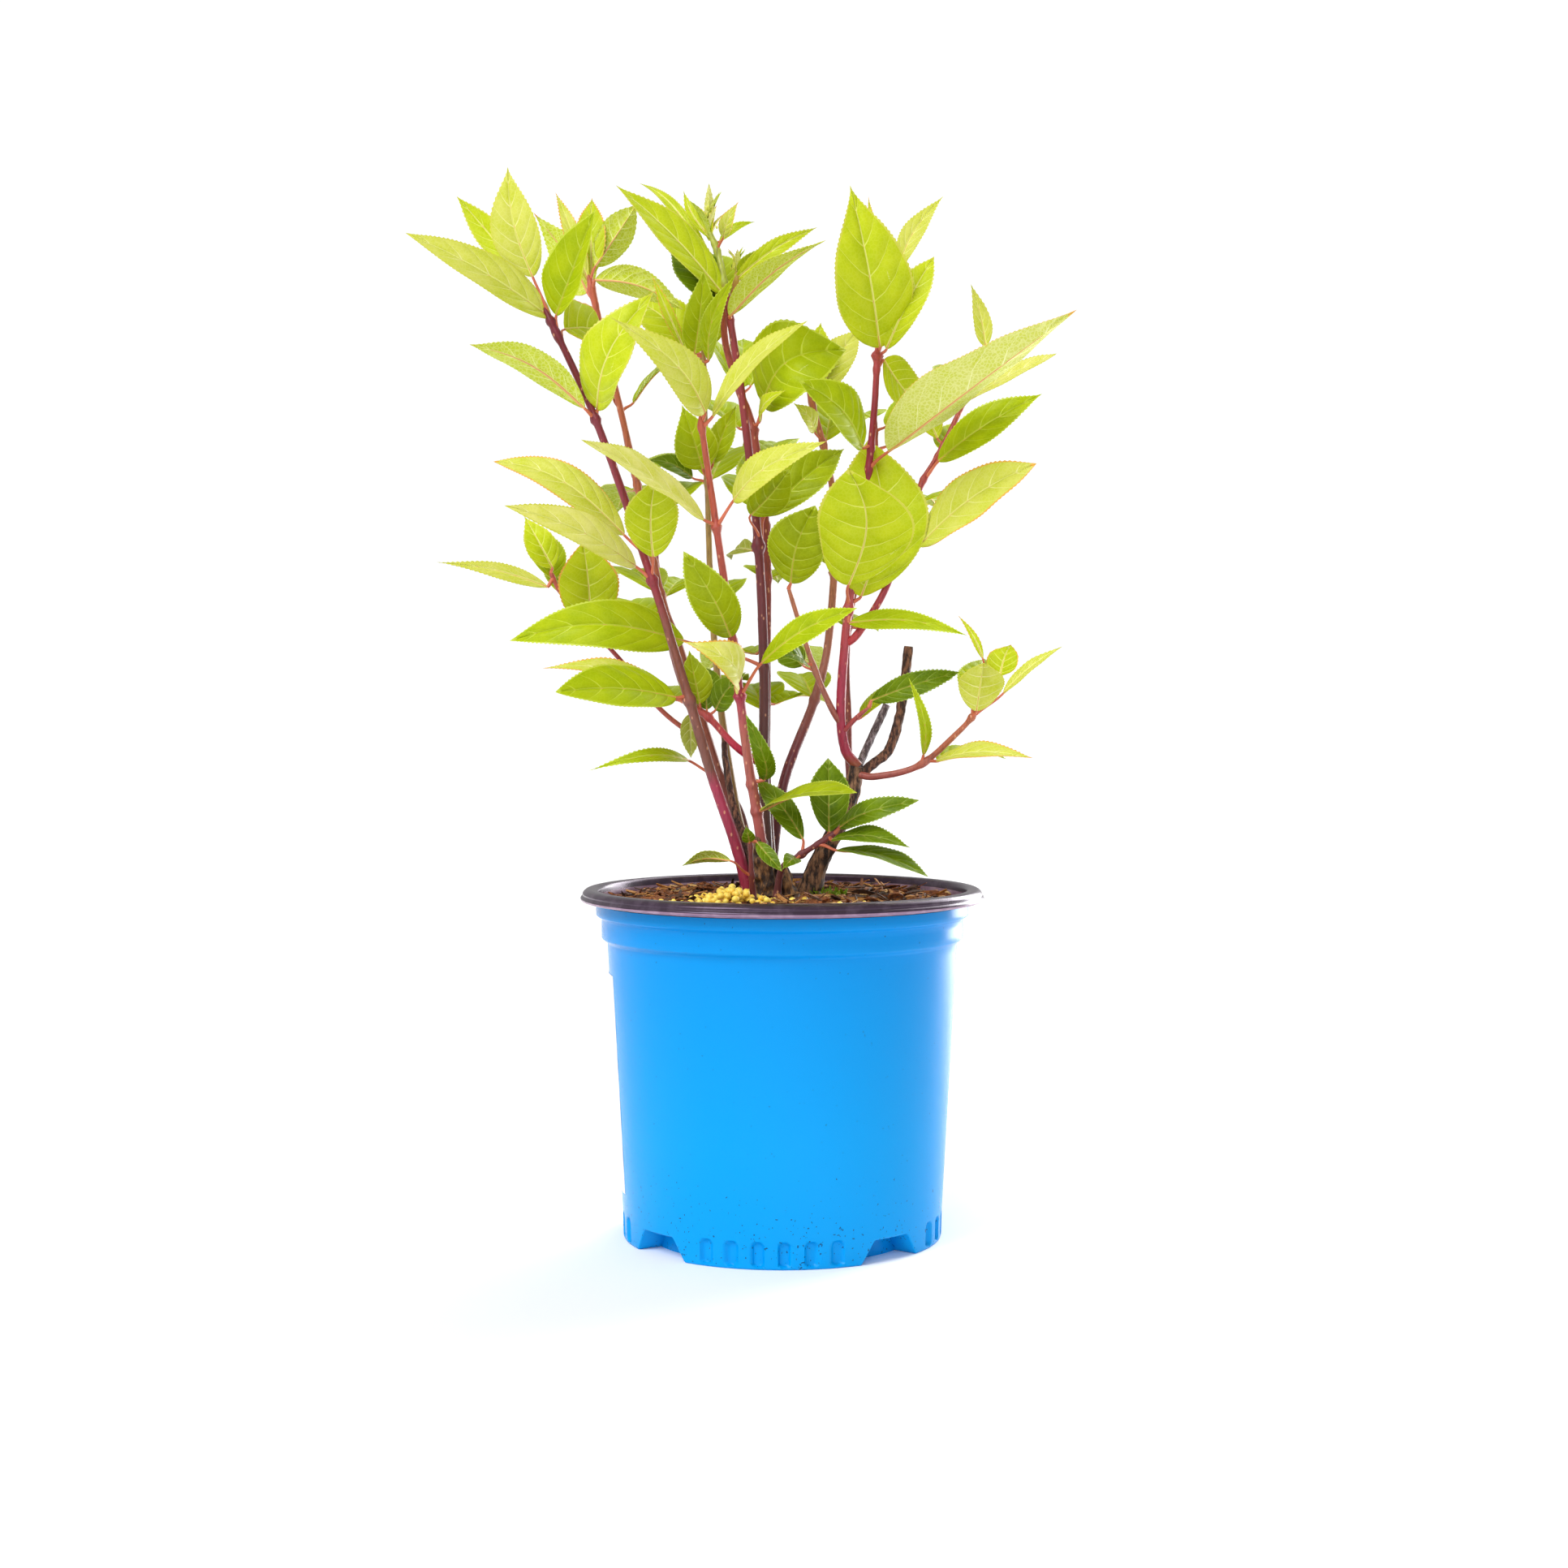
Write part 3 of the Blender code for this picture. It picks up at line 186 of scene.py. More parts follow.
PLANS = (
    ShootPlan(
        "left_front", None,
        ((-18, 184, -15), (-25.5, 212, -17), (-38, 248, -20), (-54, 301, -27), (-71, 356, -34),
         (-102, 444, -42), (-130, 505, -46)),
        (3.4, 1.7),
        ((184, "962540"), (244, "A83050"), (254, "7A4A3E"), (330, "85483C"), (348, "8E2A36"),
         (505, "6E1B2C")),
        (
            Seen(498, -150, 582, -50, 25, 110, 25, 0.09, roll=-5, sway=-0.04, swing=-3, tip=1.6, tone=PALE),
            Seen(500, -178, 566, -22, 15, 45, 31, -0.07, roll=-35, swing=3, widest=0.5, tip=1.4),
            Seen(493, -206, 546, -66, 25, 45, 5, 0.09, roll=-5, sway=-0.04, swing=6, tip=1.2, tone=PALE),
            Seen(492, -102, 559, -72, 28, 65, 9, 0.02, roll=-25, sway=0.02, swing=-5, tip=1.4, tone=MID,
                 fold=32),
            Seen(490, -94, 485, -14, 40, 65, 11, 0.19, roll=-5, sway=0.02, swing=-9, widest=0.35, tip=1.6),
            Seen(444, -171, 485, -76, 21, -10, 9, 0.11, roll=20, sway=-0.02, swing=-3, widest=0.5, tip=1.4),
            Seen(446, -70, 514, -66, 33, 55, 5, 0.25, roll=-10, sway=0.08, swing=-2, widest=0.45, tip=1.4),
            Seen(356, -152, 397, -80, 24, 45, 11, 0.1, roll=-10, sway=-0.02, swing=4, tip=1.2, tone=GOLD),
            Seen(358, -69, 412, -64, 28, 105, 14, -0.04, roll=10, sway=-0.04, widest=0.55, tip=1.2),
            Seen(292, -124, 295, -70, 29, 45, 8, 0.05, roll=-10, sway=0.02, widest=0.45, tip=1, tone=MID),
            Seen(290, -131, 308, -34, 14, 45, tone=PALE),
        ),
    ),
    ShootPlan(
        "left_back", None,
        ((-15, 184, 2), (-25.5, 225, 5), (-34, 248, 7), (-56, 318, 11), (-66.5, 349, 12), (-84, 430, 18),
         (-106, 523, 20)),
        (3.3, 1.6),
        ((184, "7A3038"), (250, "8A4A3C"), (430, "B2603E"), (523, "B8573F")),
        (
            Seen(248, -106, 252, -14, 8, 45, 17, 0.3, roll=-15, sway=-0.06, swing=10, tip=1.9, tone=MID),
            Seen(366, -158, 421, 40, 21, 25, 24, 0.19, roll=-30, sway=0.02, swing=5, tip=1.1, tone=PALE),
            Seen(512, -124, 568, 34, 9, 70, tone=PALE), Seen(516, -104, 565, 44, 16, 60),
            Seen(510, -136, 557, 50, 24, -70),
            Seen(522, -80, 561, 26, 19, -70, 9, 0.08, roll=10, sway=-0.02, swing=2, widest=0.55, tip=1.1),
            Seen(519, -54, 504, 2, 21, -45, 3, 0.02, sway=0.1, swing=7, tip=1.1),
            Turned(410, 105, -10, 56, 28), Turned(350, 115, 10, 66, 30), Turned(470, 95, 35, 58, 26),
        ),
    ),
    ShootPlan(
        "centre_front", None,
        ((-8, 184, -27), (-13, 224, -28), (-19, 260, -31), (-27, 323, -38), (-36, 385, -46),
         (-45, 446, -53)),
        (3.1, 1.6),
        ((184, "842C36"), (224, "A04A44"), (270, "A85A4C"), (292, "A83048"), (322, "A8423E"),
         (446, "B5543A")),
        (
            Seen(443, -94, 500, -96, 22, 65, 3, 0.17, roll=-10, sway=0.04, swing=6, widest=0.3, tip=1.6,
                 tone=PALE),
            Seen(440, 14, 498, -88, 19, 40, 9, 0.07, roll=5, sway=-0.02, swing=-2, tip=1.3, tone=PALE),
            Seen(385, -110, 433, -100, 25, 40, 9, 0.04, roll=-5, widest=0.45, tip=1.2, tone=GOLD),
            Seen(387, 24, 432, -92, 19, 60, 16, 0.14, roll=5, swing=-7, widest=0.35, tip=1.3, tone=PALE),
            Seen(323, -54, 372, -86, 23, 90, 3, 0.07, roll=-10, sway=0.04, widest=0.5, tip=1.1, tone=OLIVE),
            Seen(293, -55, 323, -70, 23, 50, 5, 0.29, roll=-15, sway=-0.02, swing=2, tip=1.8, tone=GOLD),
            Seen(295, 41, 341, -88, 14, 55, 22, 0.05, roll=20, sway=-0.04, swing=-8, widest=0.5, tip=1.2,
                 tone=MID),
            Seen(246, -20, 283, -66, 10, 75, 3, 0.2, roll=-5, sway=0.1, swing=7, widest=0.5, tip=1.1,
                 tone=DEEP),
            Seen(230, 41, 240, -96, 20, 40, 4, 0.06, roll=-5, widest=0.5, tip=1.1, tone=OLIVE),
        ),
    ),
    ShootPlan(
        "centre_bud", None,
        ((-7, 184, -6), (-10, 246, 0), (-10, 306, 3), (-13, 374, 4), (-21, 448, 4), (-31, 514, 0),
         (-35, 534, 5), (-40, 547, 7)),
        (3.2, 1.5),
        ((184, "4A2E26"), (300, "5A2C2A"), (374, "6E2430"), (448, "8A2C34"), (511, "8E3038"),
         (519, "A8B040")),
        (
            Seen(512, -91, 572, -16, 25, 45, 3, 0.05, widest=0.45, tip=1.5), Seen(520, -78, 573, 60, 7, 60),
            Seen(540, -54, 569, 14, 6, 55, 3, 0.09, roll=-5, sway=-0.1, widest=0.45, tip=1.8),
            Seen(540, -15, 552, 8, 6, 55, 3, 0.2, sway=0.04, tone=MID),
            Seen(536, -24, 563, -14, 8, 70, tone=PALE),
            Seen(500, 24, 542, -36, 25, 0, 3, 0.08, sway=-0.02, swing=4, widest=0.35, tip=1.9),
            Seen(506, -62, 536, 14, 26, 60, 7, tone=DEEP),
            Seen(374, 34, 428, 22, 23, 70, 17, 0.17, sway=0.02, swing=-9, widest=0.5, tip=1.6, tone=OLIVE),
            Seen(378, 4, 417, -24, 21, 105, 16, -0.01, roll=15, sway=0.04, swing=-10, tip=1.1, tone=OLIVE),
            Seen(376, -28, 367, 40, 13, 60, tone=SAGE),
            Seen(310, -149, 323, -5, 27, 75, 45, 0.18, roll=-5, sway=0.06, swing=10, widest=0.35, tip=1.1,
                 tone=MID),
        ),
        (Bud(-40, 553, 7, 16, 24),),
    ),
    ShootPlan(
        "centre_second", None,
        ((-5, 184, 5), (-9, 246, 11), (-9, 300, 15), (-9, 380, 22), (-16, 437, 26), (-24, 461, 25),
         (-31, 486, 21), (-31, 503, 17), (-26, 514, 15), (-24.5, 525, 14)),
        (3.1, 1.5),
        ((184, "5C3028"), (380, "8A3A34"), (437, "A0463A"), (512, "A84838"), (525, "C0A04A")),
        (
            Seen(437, 35, 482, 10, 45, 70, 14, 0.29, sway=-0.12, swing=-9, widest=0.5, tip=1.2, tone=MID),
            Seen(440, 2, 460, -4, 11, 60),
            Seen(514, 19, 549, 14, 10, 80, 3, 0.28, roll=-5, sway=0.06, swing=-5, widest=0.45, tip=1.6),
            Seen(520, -7, 539, 4, 16, 85, 3, 0.05, sway=0.1, widest=0.35, tip=1.3, tone=OLIVE),
            Turned(421, 70, 10, 62, 28), Turned(386, 100, 50, 56, 28), Turned(505, 100, 40, 52, 24),
            Turned(360, 85, 0, 62, 32),
        ),
        (Bud(-24.5, 529, 14, 9, 13),),
    ),
    ShootPlan(
        "back_olive", None,
        ((-12, 184, 26), (-17, 205, 30), (-25, 231, 36), (-34, 290, 44), (-39, 350, 46), (-41, 409, 40),
         (-43.5, 484, 20)),
        (2.6, 1.4),
        ((184, "8A6A3E"), (350, "A5864A"), (500, "A07A48")),
        (
            Seen(478, -43, 526, -18, 18, 70, 3, 0.09, roll=10, swing=-5, widest=0.45, tip=1.4, tone=MID),
            Seen(474, -71, 522, -8, 6, 90, 17, 0.2, roll=-10, sway=0.02, swing=-4, widest=0.55, tip=1.5),
            Seen(475, -25, 524, -26, 11, 80, 4, 0.07, sway=-0.06, swing=2, tip=1.6, tone=MID),
            Seen(478, -82, 509, 46, 28, 60), Seen(409, -55, 452, 22, 24, 80, tone=MID),
            Seen(414, -25, 452, 44, 14, 70, tone=MID), Seen(409, -74, 422, 34, 14, tone=DEEP),
            Turned(409, 75, 20, 66, 32), Turned(478, 80, 40, 56, 26), Turned(345, 85, 10, 66, 32),
        ),
    ),
    ShootPlan(
        "back_right", None,
        ((-8, 184, 16), (0.5, 244, 22), (17.5, 291, 34), (26, 330, 42), (28, 400, 50), (14, 462, 56)),
        (3.2, 1.6),
        ((184, "5E2A30"), (260, "742E36"), (300, "96584A"), (345, "A86A50"), (462, "B5654A")),
        (
            Seen(455, 21, 497, 60, 19, 70), Seen(452, 43, 494, 72, 20, 60, tone=PALE),
            Seen(433, 6, 453, 34, 12, 60, tone=PALE), Turned(291, 100, 10, 62, 30),
            Turned(361, 105, 30, 62, 30), Turned(362, 15, 20, 54, 28), Turned(430, 80, 30, 60, 28),
        ),
    ),
    ShootPlan(
        "right_centre", "trunk_right",
        ((41, 254.5, -6), (34, 265, -8), (32, 290, -14), (36, 339, -20), (44, 390, -22),
         (50, 446, -24), (52, 483, -25)),
        (3.0, 1.6),
        ((256, "8E4A32"), (262, "A02642"), (300, "A02440"), (345, "B04A48"), (390, "9A2038"),
         (446, "84182E"), (483, "B44644")),
        (
            Seen(480, 37, 572, -52, 43, 65, 3, 0.11, roll=10, sway=-0.02, swing=2, tip=1.6),
            Seen(478, 83, 533, -30, 18, 70, 7, roll=-5, sway=0.02, swing=2, widest=0.55, tip=1.2),
            Seen(479, 88, 566, 18, 12, 40, 58, -0.03, roll=5, sway=-0.08, swing=-8, widest=0.45, tone=PALE),
            Seen(481, 47, 566, 4, 8, 60),
            Seen(430, 9, 465, -62, 27, 70, 6, 0.11, roll=10, sway=0.04, swing=-4, widest=0.45, tip=1.1,
                 tone=MID),
            Seen(418, 161, 504, -76, 50, -10, 16, -0.05, sway=0.1, swing=3, widest=0.3, tip=1.2, tone=PALE,
                 fold=26),
            Seen(472, 78, 451, 10, 23, 80, 3, 0.08, sway=0.12, swing=-7, widest=0.3, tip=1.1),
            Seen(342, 36, 417, -84, 50, 90, 16, -0.06, roll=-5, sway=0.12, widest=0.55, tip=1.1),
            Seen(342, 47, 433, -16, 49, 40, 7, 0.08, roll=10, sway=0.1, swing=6, widest=0.5, tip=1.1),
            Seen(339, 101, 326, -62, 11, 85, 3, 0.02, roll=-5, sway=-0.06, swing=6, widest=0.3, tip=1.4,
                 tone=MID),
        ),
    ),
    ShootPlan(
        "right_side", "right_centre",
        ((34, 321, -17), (42, 328, -20), (58, 355, -20), (74, 404, -12), (87, 428, -6), (109, 474, 2)),
        (2.3, 1.3),
        ((321, "B03038"), (355, "96283A"), (428, "A84038"), (478, "B04C3A")),
        (
            Seen(455, 150, 480, -14, 12, 35, 3, 0.06, roll=5, sway=0.04, widest=0.55, tip=1.2, tone=GOLD),
            Seen(412, 142, 458, -34, 21, 65, 12, 0.14, roll=-5, sway=0.04, swing=-4, widest=0.5, tip=1.5,
                 tone=MID),
            Seen(380, 139, 420, -56, 29, 60, 8, 0.02, sway=-0.06, swing=10, widest=0.5, tip=1.1, tone=PALE),
            Seen(430, 73, 450, 30, 14, 60),
            Seen(468, 103, 518, -8, 10, 45, 17, -0.07, roll=10, sway=0.06, swing=7, widest=0.3, tip=1.6,
                 tone=PALE),
            Turned(455, 95, 25, 56, 26), Turned(400, 75, 0, 62, 30), Turned(425, 60, 20, 54, 26),
        ),
    ),
    ShootPlan(
        "right_inner", "right_centre",
        ((32, 278, -12), (26, 288, -15), (16, 312, -17), (3, 353, -18)),
        (1.9, 1.2),
        ((278, "9A5048"), (312, "A86850"), (353, "B06A4A")),
        (
            Seen(352, 18, 397, -46, 31, 90, 4, 0.03, sway=-0.06, widest=0.55, tip=1.1, tone=OLIVE),
            Seen(306, -4, 318, -4, 16, 60, tone=DEEP), Seen(310, -2, 315, -44, 15, 60, tone=DEEP),
        ),
    ),
    ShootPlan(
        "right_knot", "right_centre",
        ((34, 274, -12), (40, 280.5, -14), (47, 286.5, -16)),
        (1.4, 1.2),
        ((277, "A03A3C"), (288, "A84A3E")),
        (Seen(287, 97, 306, -24, 13, 85, 3, roll=-5, swing=-3, widest=0.45, tip=1.1, tone=DEEP),),
    ),
    ShootPlan(
        "right_low", "trunk_right",
        ((41, 250, -7), (52, 249, -12), (75, 255, -18), (96, 273, -24), (106, 284, -26)),
        (2.1, 1.3),
        ((250, "A0504A"), (255, "A85A48"), (284, "B0603F")),
        (
            Seen(256, 69, 303, -44, 6, 50, 5, 0.16, roll=-5, sway=0.04, swing=2, tip=1.4, tone=MID),
            Seen(258, 137, 259, -52, 18, 25, 6, 0.1, roll=5, sway=0.04, tip=1.6, tone=PALE),
            Seen(281, 110, 311, -56, 24, 90, 6, -0.13, roll=5, sway=0.02, swing=2, widest=0.55, tip=1.2,
                 tone=PALE),
            Seen(282, 125, 321, -8, 18, 35, 28, 0.13, roll=-5, swing=3, widest=0.35, tip=1.4),
            Seen(282, 96, 337, -20, 4, 85, 30, 0.09, roll=5, sway=0.04, swing=10, widest=0.35, tip=1.8),
            Seen(281, 153, 320, -34, 9, 35, 22, 0.06, roll=-5, tip=1.5, tone=PALE),
            Turned(258, 40, 0, 52, 25), Turned(289, 80, 30, 50, 24),
        ),
    ),
    ShootPlan(
        "low_front", None,
        ((-3, 184, -37), (0, 199, -41), (10, 206, -47), (21, 213, -54), (30, 219, -58)),
        (1.8, 1.2),
        ((184, "5E3034"), (219, "7A3C40")),
        (
            Seen(214, 25, 259, -44, 22, 95, 5, -0.06, roll=15, sway=0.02, swing=3, widest=0.55, tip=1.2,
                 tone=DEEP),
            Seen(218, 75, 236, -86, 12, 60, 4, 0.21, roll=5, sway=0.04, swing=-2, widest=0.55, tip=1.1,
                 tone=DEEP),
            Seen(216, 70, 210, -98, 14, 40, 4, 0.09, swing=2, widest=0.45, tip=1.5, tone=DEEP),
            Seen(212, 80, 194, -96, 16, 10, 13, 0.07, roll=5, widest=0.5, tip=1.2, tone=DEEP),
            Seen(207, -15, 248, -20, 13, 55, 7, -0.05, roll=-20, sway=0.04, swing=4, widest=0.5, tip=1.2,
                 tone=DEEP),
            Seen(206, 0, 198, -66, 9, 60, 5, tone=DEEP),
        ),
    ),
    ShootPlan(
        "low_left", None,
        ((-16, 184, -41), (-17, 200, -45), (-17.5, 215, -47)),
        (1.5, 1.1),
        ((184, "6E2A34"), (212, "7A3A34")),
        (
            Seen(195, -55, 200, -58, 10, 10, 16, 0.24, roll=50, sway=0.14, swing=-10, widest=0.45, tip=1.6,
                 tone=OLIVE),
            Seen(214, 0, 197, -60, 8, 40, 3, 0.04, roll=15, sway=0.02, swing=-2, widest=0.45, tip=1.2,
                 tone=DEEP),
            Seen(211, -20, 222, -54, 7, 80, 3, tone=DEEP),
        ),
    ),
    ShootPlan(
        "left_inner", "centre_bud",
        ((-10, 255, 1), (-25, 265, -8), (-40, 281, -9), (-50, 287, -9)),
        (2.4, 1.4),
        ((255, "A8243C"), (265, "BE2846"), (287, "B85048")),
        (
            Seen(286, -50, 259, -16, 11, 40, 3, 0.1, roll=-5, swing=2, widest=0.45, tip=1.3, tone=SAGE),
            Seen(284, -51, 318, -14, 18, 80, 5, tone=OLIVE), Seen(282, -43, 309, 18, 18, 60, 5, tone=DEEP),
            Seen(281, -20, 306, -20, 16, 60, 6, tone=DEEP),
        ),
    ),
    ShootPlan(
        "left_thin", "left_back",
        ((-41, 266, 8), (-66, 285, 14), (-88, 312, 18), (-118, 345, 20), (-127, 361, 20)),
        (1.5, 1.0),
        ((271, "B0503C"), (312, "8E2A34"), (361, "A8483A")),
        (
            Seen(357, -189, 366, 4, 9, 70, 3, 0.02, roll=-5, sway=0.04, swing=-5, widest=0.35, tip=2.1,
                 tone=PALE),
            Seen(360, -141, 391, 24, 17, 75, 3, 0.19, roll=5, sway=-0.02, swing=2, widest=0.35),
            Seen(327, -109, 377, -8, 33, 90, 4, -0.1, roll=5, sway=0.02, swing=-3, widest=0.5, tip=1.1),
            Turned(345, 95, 20, 52, 25), Turned(352, 120, 40, 48, 23),
        ),
    ),
    ShootPlan(
        "rear_left", None,
        ((-14, 184, 46), (-22, 225, 52), (-33, 248, 58), (-55, 301, 74), (-67, 350, 88), (-72, 390, 94),
         (-82, 418, 98), (-88, 448, 104)),
        (2.9, 1.5),
        ((184, "5E3A30"), (300, "8A3A38"), (450, "A04A3C")),
        (
            Turned(290, 120, 0, 66, 32), Turned(290, 60, 10, 62, 30), Turned(340, 125, 0, 70, 34),
            Turned(348, 75, 10, 56, 32), Turned(390, 60, 20, 66, 32), Turned(390, 120, 10, 70, 34),
            Turned(414, 50, 10, 66, 32), Turned(456, 170, 60, 50, 24), Turned(448, 10, 40, 50, 24),
            Turned(456, 170, 60, 50, 24),
        ),
    ),
    ShootPlan(
        "rear_centre", None,
        ((-4, 184, 42), (-9, 250, 66), (-10, 306, 84), (-12, 380, 108), (-16, 415, 115), (-22, 457, 122)),
        (3.0, 1.5),
        ((184, "5E3A30"), (300, "8A3A38"), (466, "A04A3C")),
        (
            Turned(285, 100, 10, 70, 34), Turned(290, 50, 0, 51, 28), Turned(319, 65, -10, 72, 34),
            Turned(319, 120, -10, 70, 34), Turned(393, 100, 20, 72, 34), Turned(393, 50, 20, 58, 28),
            Turned(422, 70, 10, 66, 32), Turned(438, 130, 20, 62, 30), Turned(464, 90, 40, 56, 27),
            Turned(464, 40, 45, 48, 22), Turned(464, 150, 50, 48, 22),
        ),
    ),
    ShootPlan(
        "rear_right", None,
        ((14, 184, 36), (24, 210, 40), (36, 236, 46), (36, 270, 54), (36, 330, 68), (50, 400, 84),
         (50.5, 446, 94)),
        (2.9, 1.5),
        ((184, "5E3A30"), (300, "8A3A38"), (448, "A04A3C")),
        (
            Turned(280, 25, 20, 64, 31), Turned(330, 75, 0, 70, 34), Turned(330, 25, 0, 54, 26),
            Turned(380, 45, 20, 64, 31), Turned(380, 105, 20, 64, 31), Turned(428, 20, 30, 64, 31),
            Turned(438, 30, 30, 50, 24), Turned(446, 100, 0, 54, 26), Turned(438, 30, 30, 46, 22),
        ),
    ),
)


def linear(colour: str) -> Colour:
    """Turn an sRGB hex colour into Blender's linear colour.

    Args:
        colour: Six hex digits, such as "0A97F0".

    Returns:
        Red, green, blue and alpha, linear.
    """
    channels = [int(colour[k:k + 2], 16) / 255 for k in (0, 2, 4)]
    return (*[c / 12.92 if c <= 0.04045 else ((c + 0.055) / 1.055) ** 2.4 for c in channels], 1.0)


def add_node(tree: bpy.types.NodeTree, kind: str, settings: dict | None = None,
             links: dict | None = None) -> bpy.types.Node:
    """Add a shader node with its settings and links.

    Args:
        tree: Node tree of the material.
        kind: Node type without its "ShaderNode" prefix.
        settings: Values for the node's attributes or, failing those, its input sockets.
        links: Output sockets to link from, by the name or number of this node's input.

    Returns:
        The new node.
    """
    node = tree.nodes.new("ShaderNode" + kind)
    for name, value in (settings or {}).items():
        if isinstance(name, str) and hasattr(node, name):
            setattr(node, name, value)
        else:
            node.inputs[name].default_value = value
    for name, socket in (links or {}).items():
        tree.links.new(socket, node.inputs[name])
    return node


@dataclass(frozen=True)
class Finish:
    """Named surface finish whose nodes are built once and then shared."""

    name: str

    def material(self) -> bpy.types.Material:
        """Look the finish up among the materials, or build it on first use.

        Returns:
            The material.
        """
        made = bpy.data.materials.get(self.name)
        if made is None:
            made = bpy.data.materials.new(self.name)
            made.use_nodes = True
            self.dress(made.node_tree, made.node_tree.nodes["Principled BSDF"])
        return made

    def dress(self, tree: bpy.types.NodeTree, shader: bpy.types.Node) -> None:
        """Build the finish's nodes.

        Args:
            tree: Node tree of the new material.
            shader: Its Principled shader.
        """
        raise NotImplementedError


@dataclass(frozen=True)
class LeafSkin(Finish):
    """Living leaf skin: waxy cuticle over a fine net of veins that quilts the blade, with pale patches that
    are partly mottling and partly painted sheen.
    """

    light: str
    dark: str
    net: str
    net_share: float
    # The real net is about 1 mm wide, and is drawn twice as coarse so that it shows
    net_mm: float = 2.1
    patch_mm: float = 11.0
    roughness: float = 0.42
    relief_mm: float = 0.12

    def dress(self, tree: bpy.types.NodeTree, shader: bpy.types.Node) -> None:
        """Build soft patches of two greens, partly mottling and partly painted sheen, with the net of small
        veins paler and sunk.

        Args:
            tree: Node tree of the new material.
            shader: Its Principled shader.
        """
        place = add_node(tree, "TexCoord").outputs["Object"]
        # Pale patches: partly mottling, partly painted sheen
        patches = add_node(tree, "TexNoise", {"Scale": 1 / (self.patch_mm * MM), "Detail": 2.0},
                           {"Vector": place})
        spread = add_node(tree, "MapRange",
                          {"From Min": 0.3, "From Max": 0.7, "To Min": 0.15, "To Max": 0.75},
                          {"Value": patches.outputs["Fac"]})
        green = add_node(tree, "Mix", {"data_type": "RGBA", 6: linear(self.light), 7: linear(self.dark)},
                         {0: spread.outputs["Result"]})
        net = add_node(tree, "TexVoronoi", {"feature": "DISTANCE_TO_EDGE", "Scale": 1 / (self.net_mm * MM)},
                       {"Vector": place})
        lines = add_node(tree, "MapRange", {"From Min": 0.0, "From Max": 0.16, "To Min": self.net_share,
                                            "To Max": 0.0}, {"Value": net.outputs["Distance"]})
        netted = add_node(tree, "Mix", {"data_type": "RGBA", 7: linear(self.net)},
                          {0: lines.outputs["Result"], 6: green.outputs[2]})
        bump = add_node(tree, "Bump", {"Strength": 0.45, "Distance": self.relief_mm * MM},
                        {"Height": net.outputs["Distance"]})
        tree.links.new(netted.outputs[2], shader.inputs["Base Color"])
        tree.links.new(bump.outputs["Normal"], shader.inputs["Normal"])
        shader.inputs["Roughness"].default_value = self.roughness
        shader.inputs["Specular IOR Level"].default_value = 0.12


@dataclass(frozen=True)
class PlainTissue(Finish):
    """Vein, margin, stalk or bud tissue: smooth, moist and of one colour with faint mottling."""

    colour: str
    roughness: float = 0.45
    # Cells are far too fine to show, so the grain is drawn as coarse as it needs to be
    grain_mm: float = 0.8

    def dress(self, tree: bpy.types.NodeTree, shader: bpy.types.Node) -> None:
        """Set the plain colour and a faint grain on the surface.

        Args:
            tree: Node tree of the new material.
            shader: Its Principled shader.
        """
        place = add_node(tree, "TexCoord").outputs["Object"]
        grain = add_node(tree, "TexNoise", {"Scale": 1 / (self.grain_mm * MM), "Detail": 2.0},
                         {"Vector": place})
        bump = add_node(tree, "Bump", {"Strength": 0.4, "Distance": 0.05 * MM},
                        {"Height": grain.outputs["Fac"]})
        tree.links.new(bump.outputs["Normal"], shader.inputs["Normal"])
        shader.inputs["Base Color"].default_value = linear(self.colour)
        shader.inputs["Roughness"].default_value = self.roughness


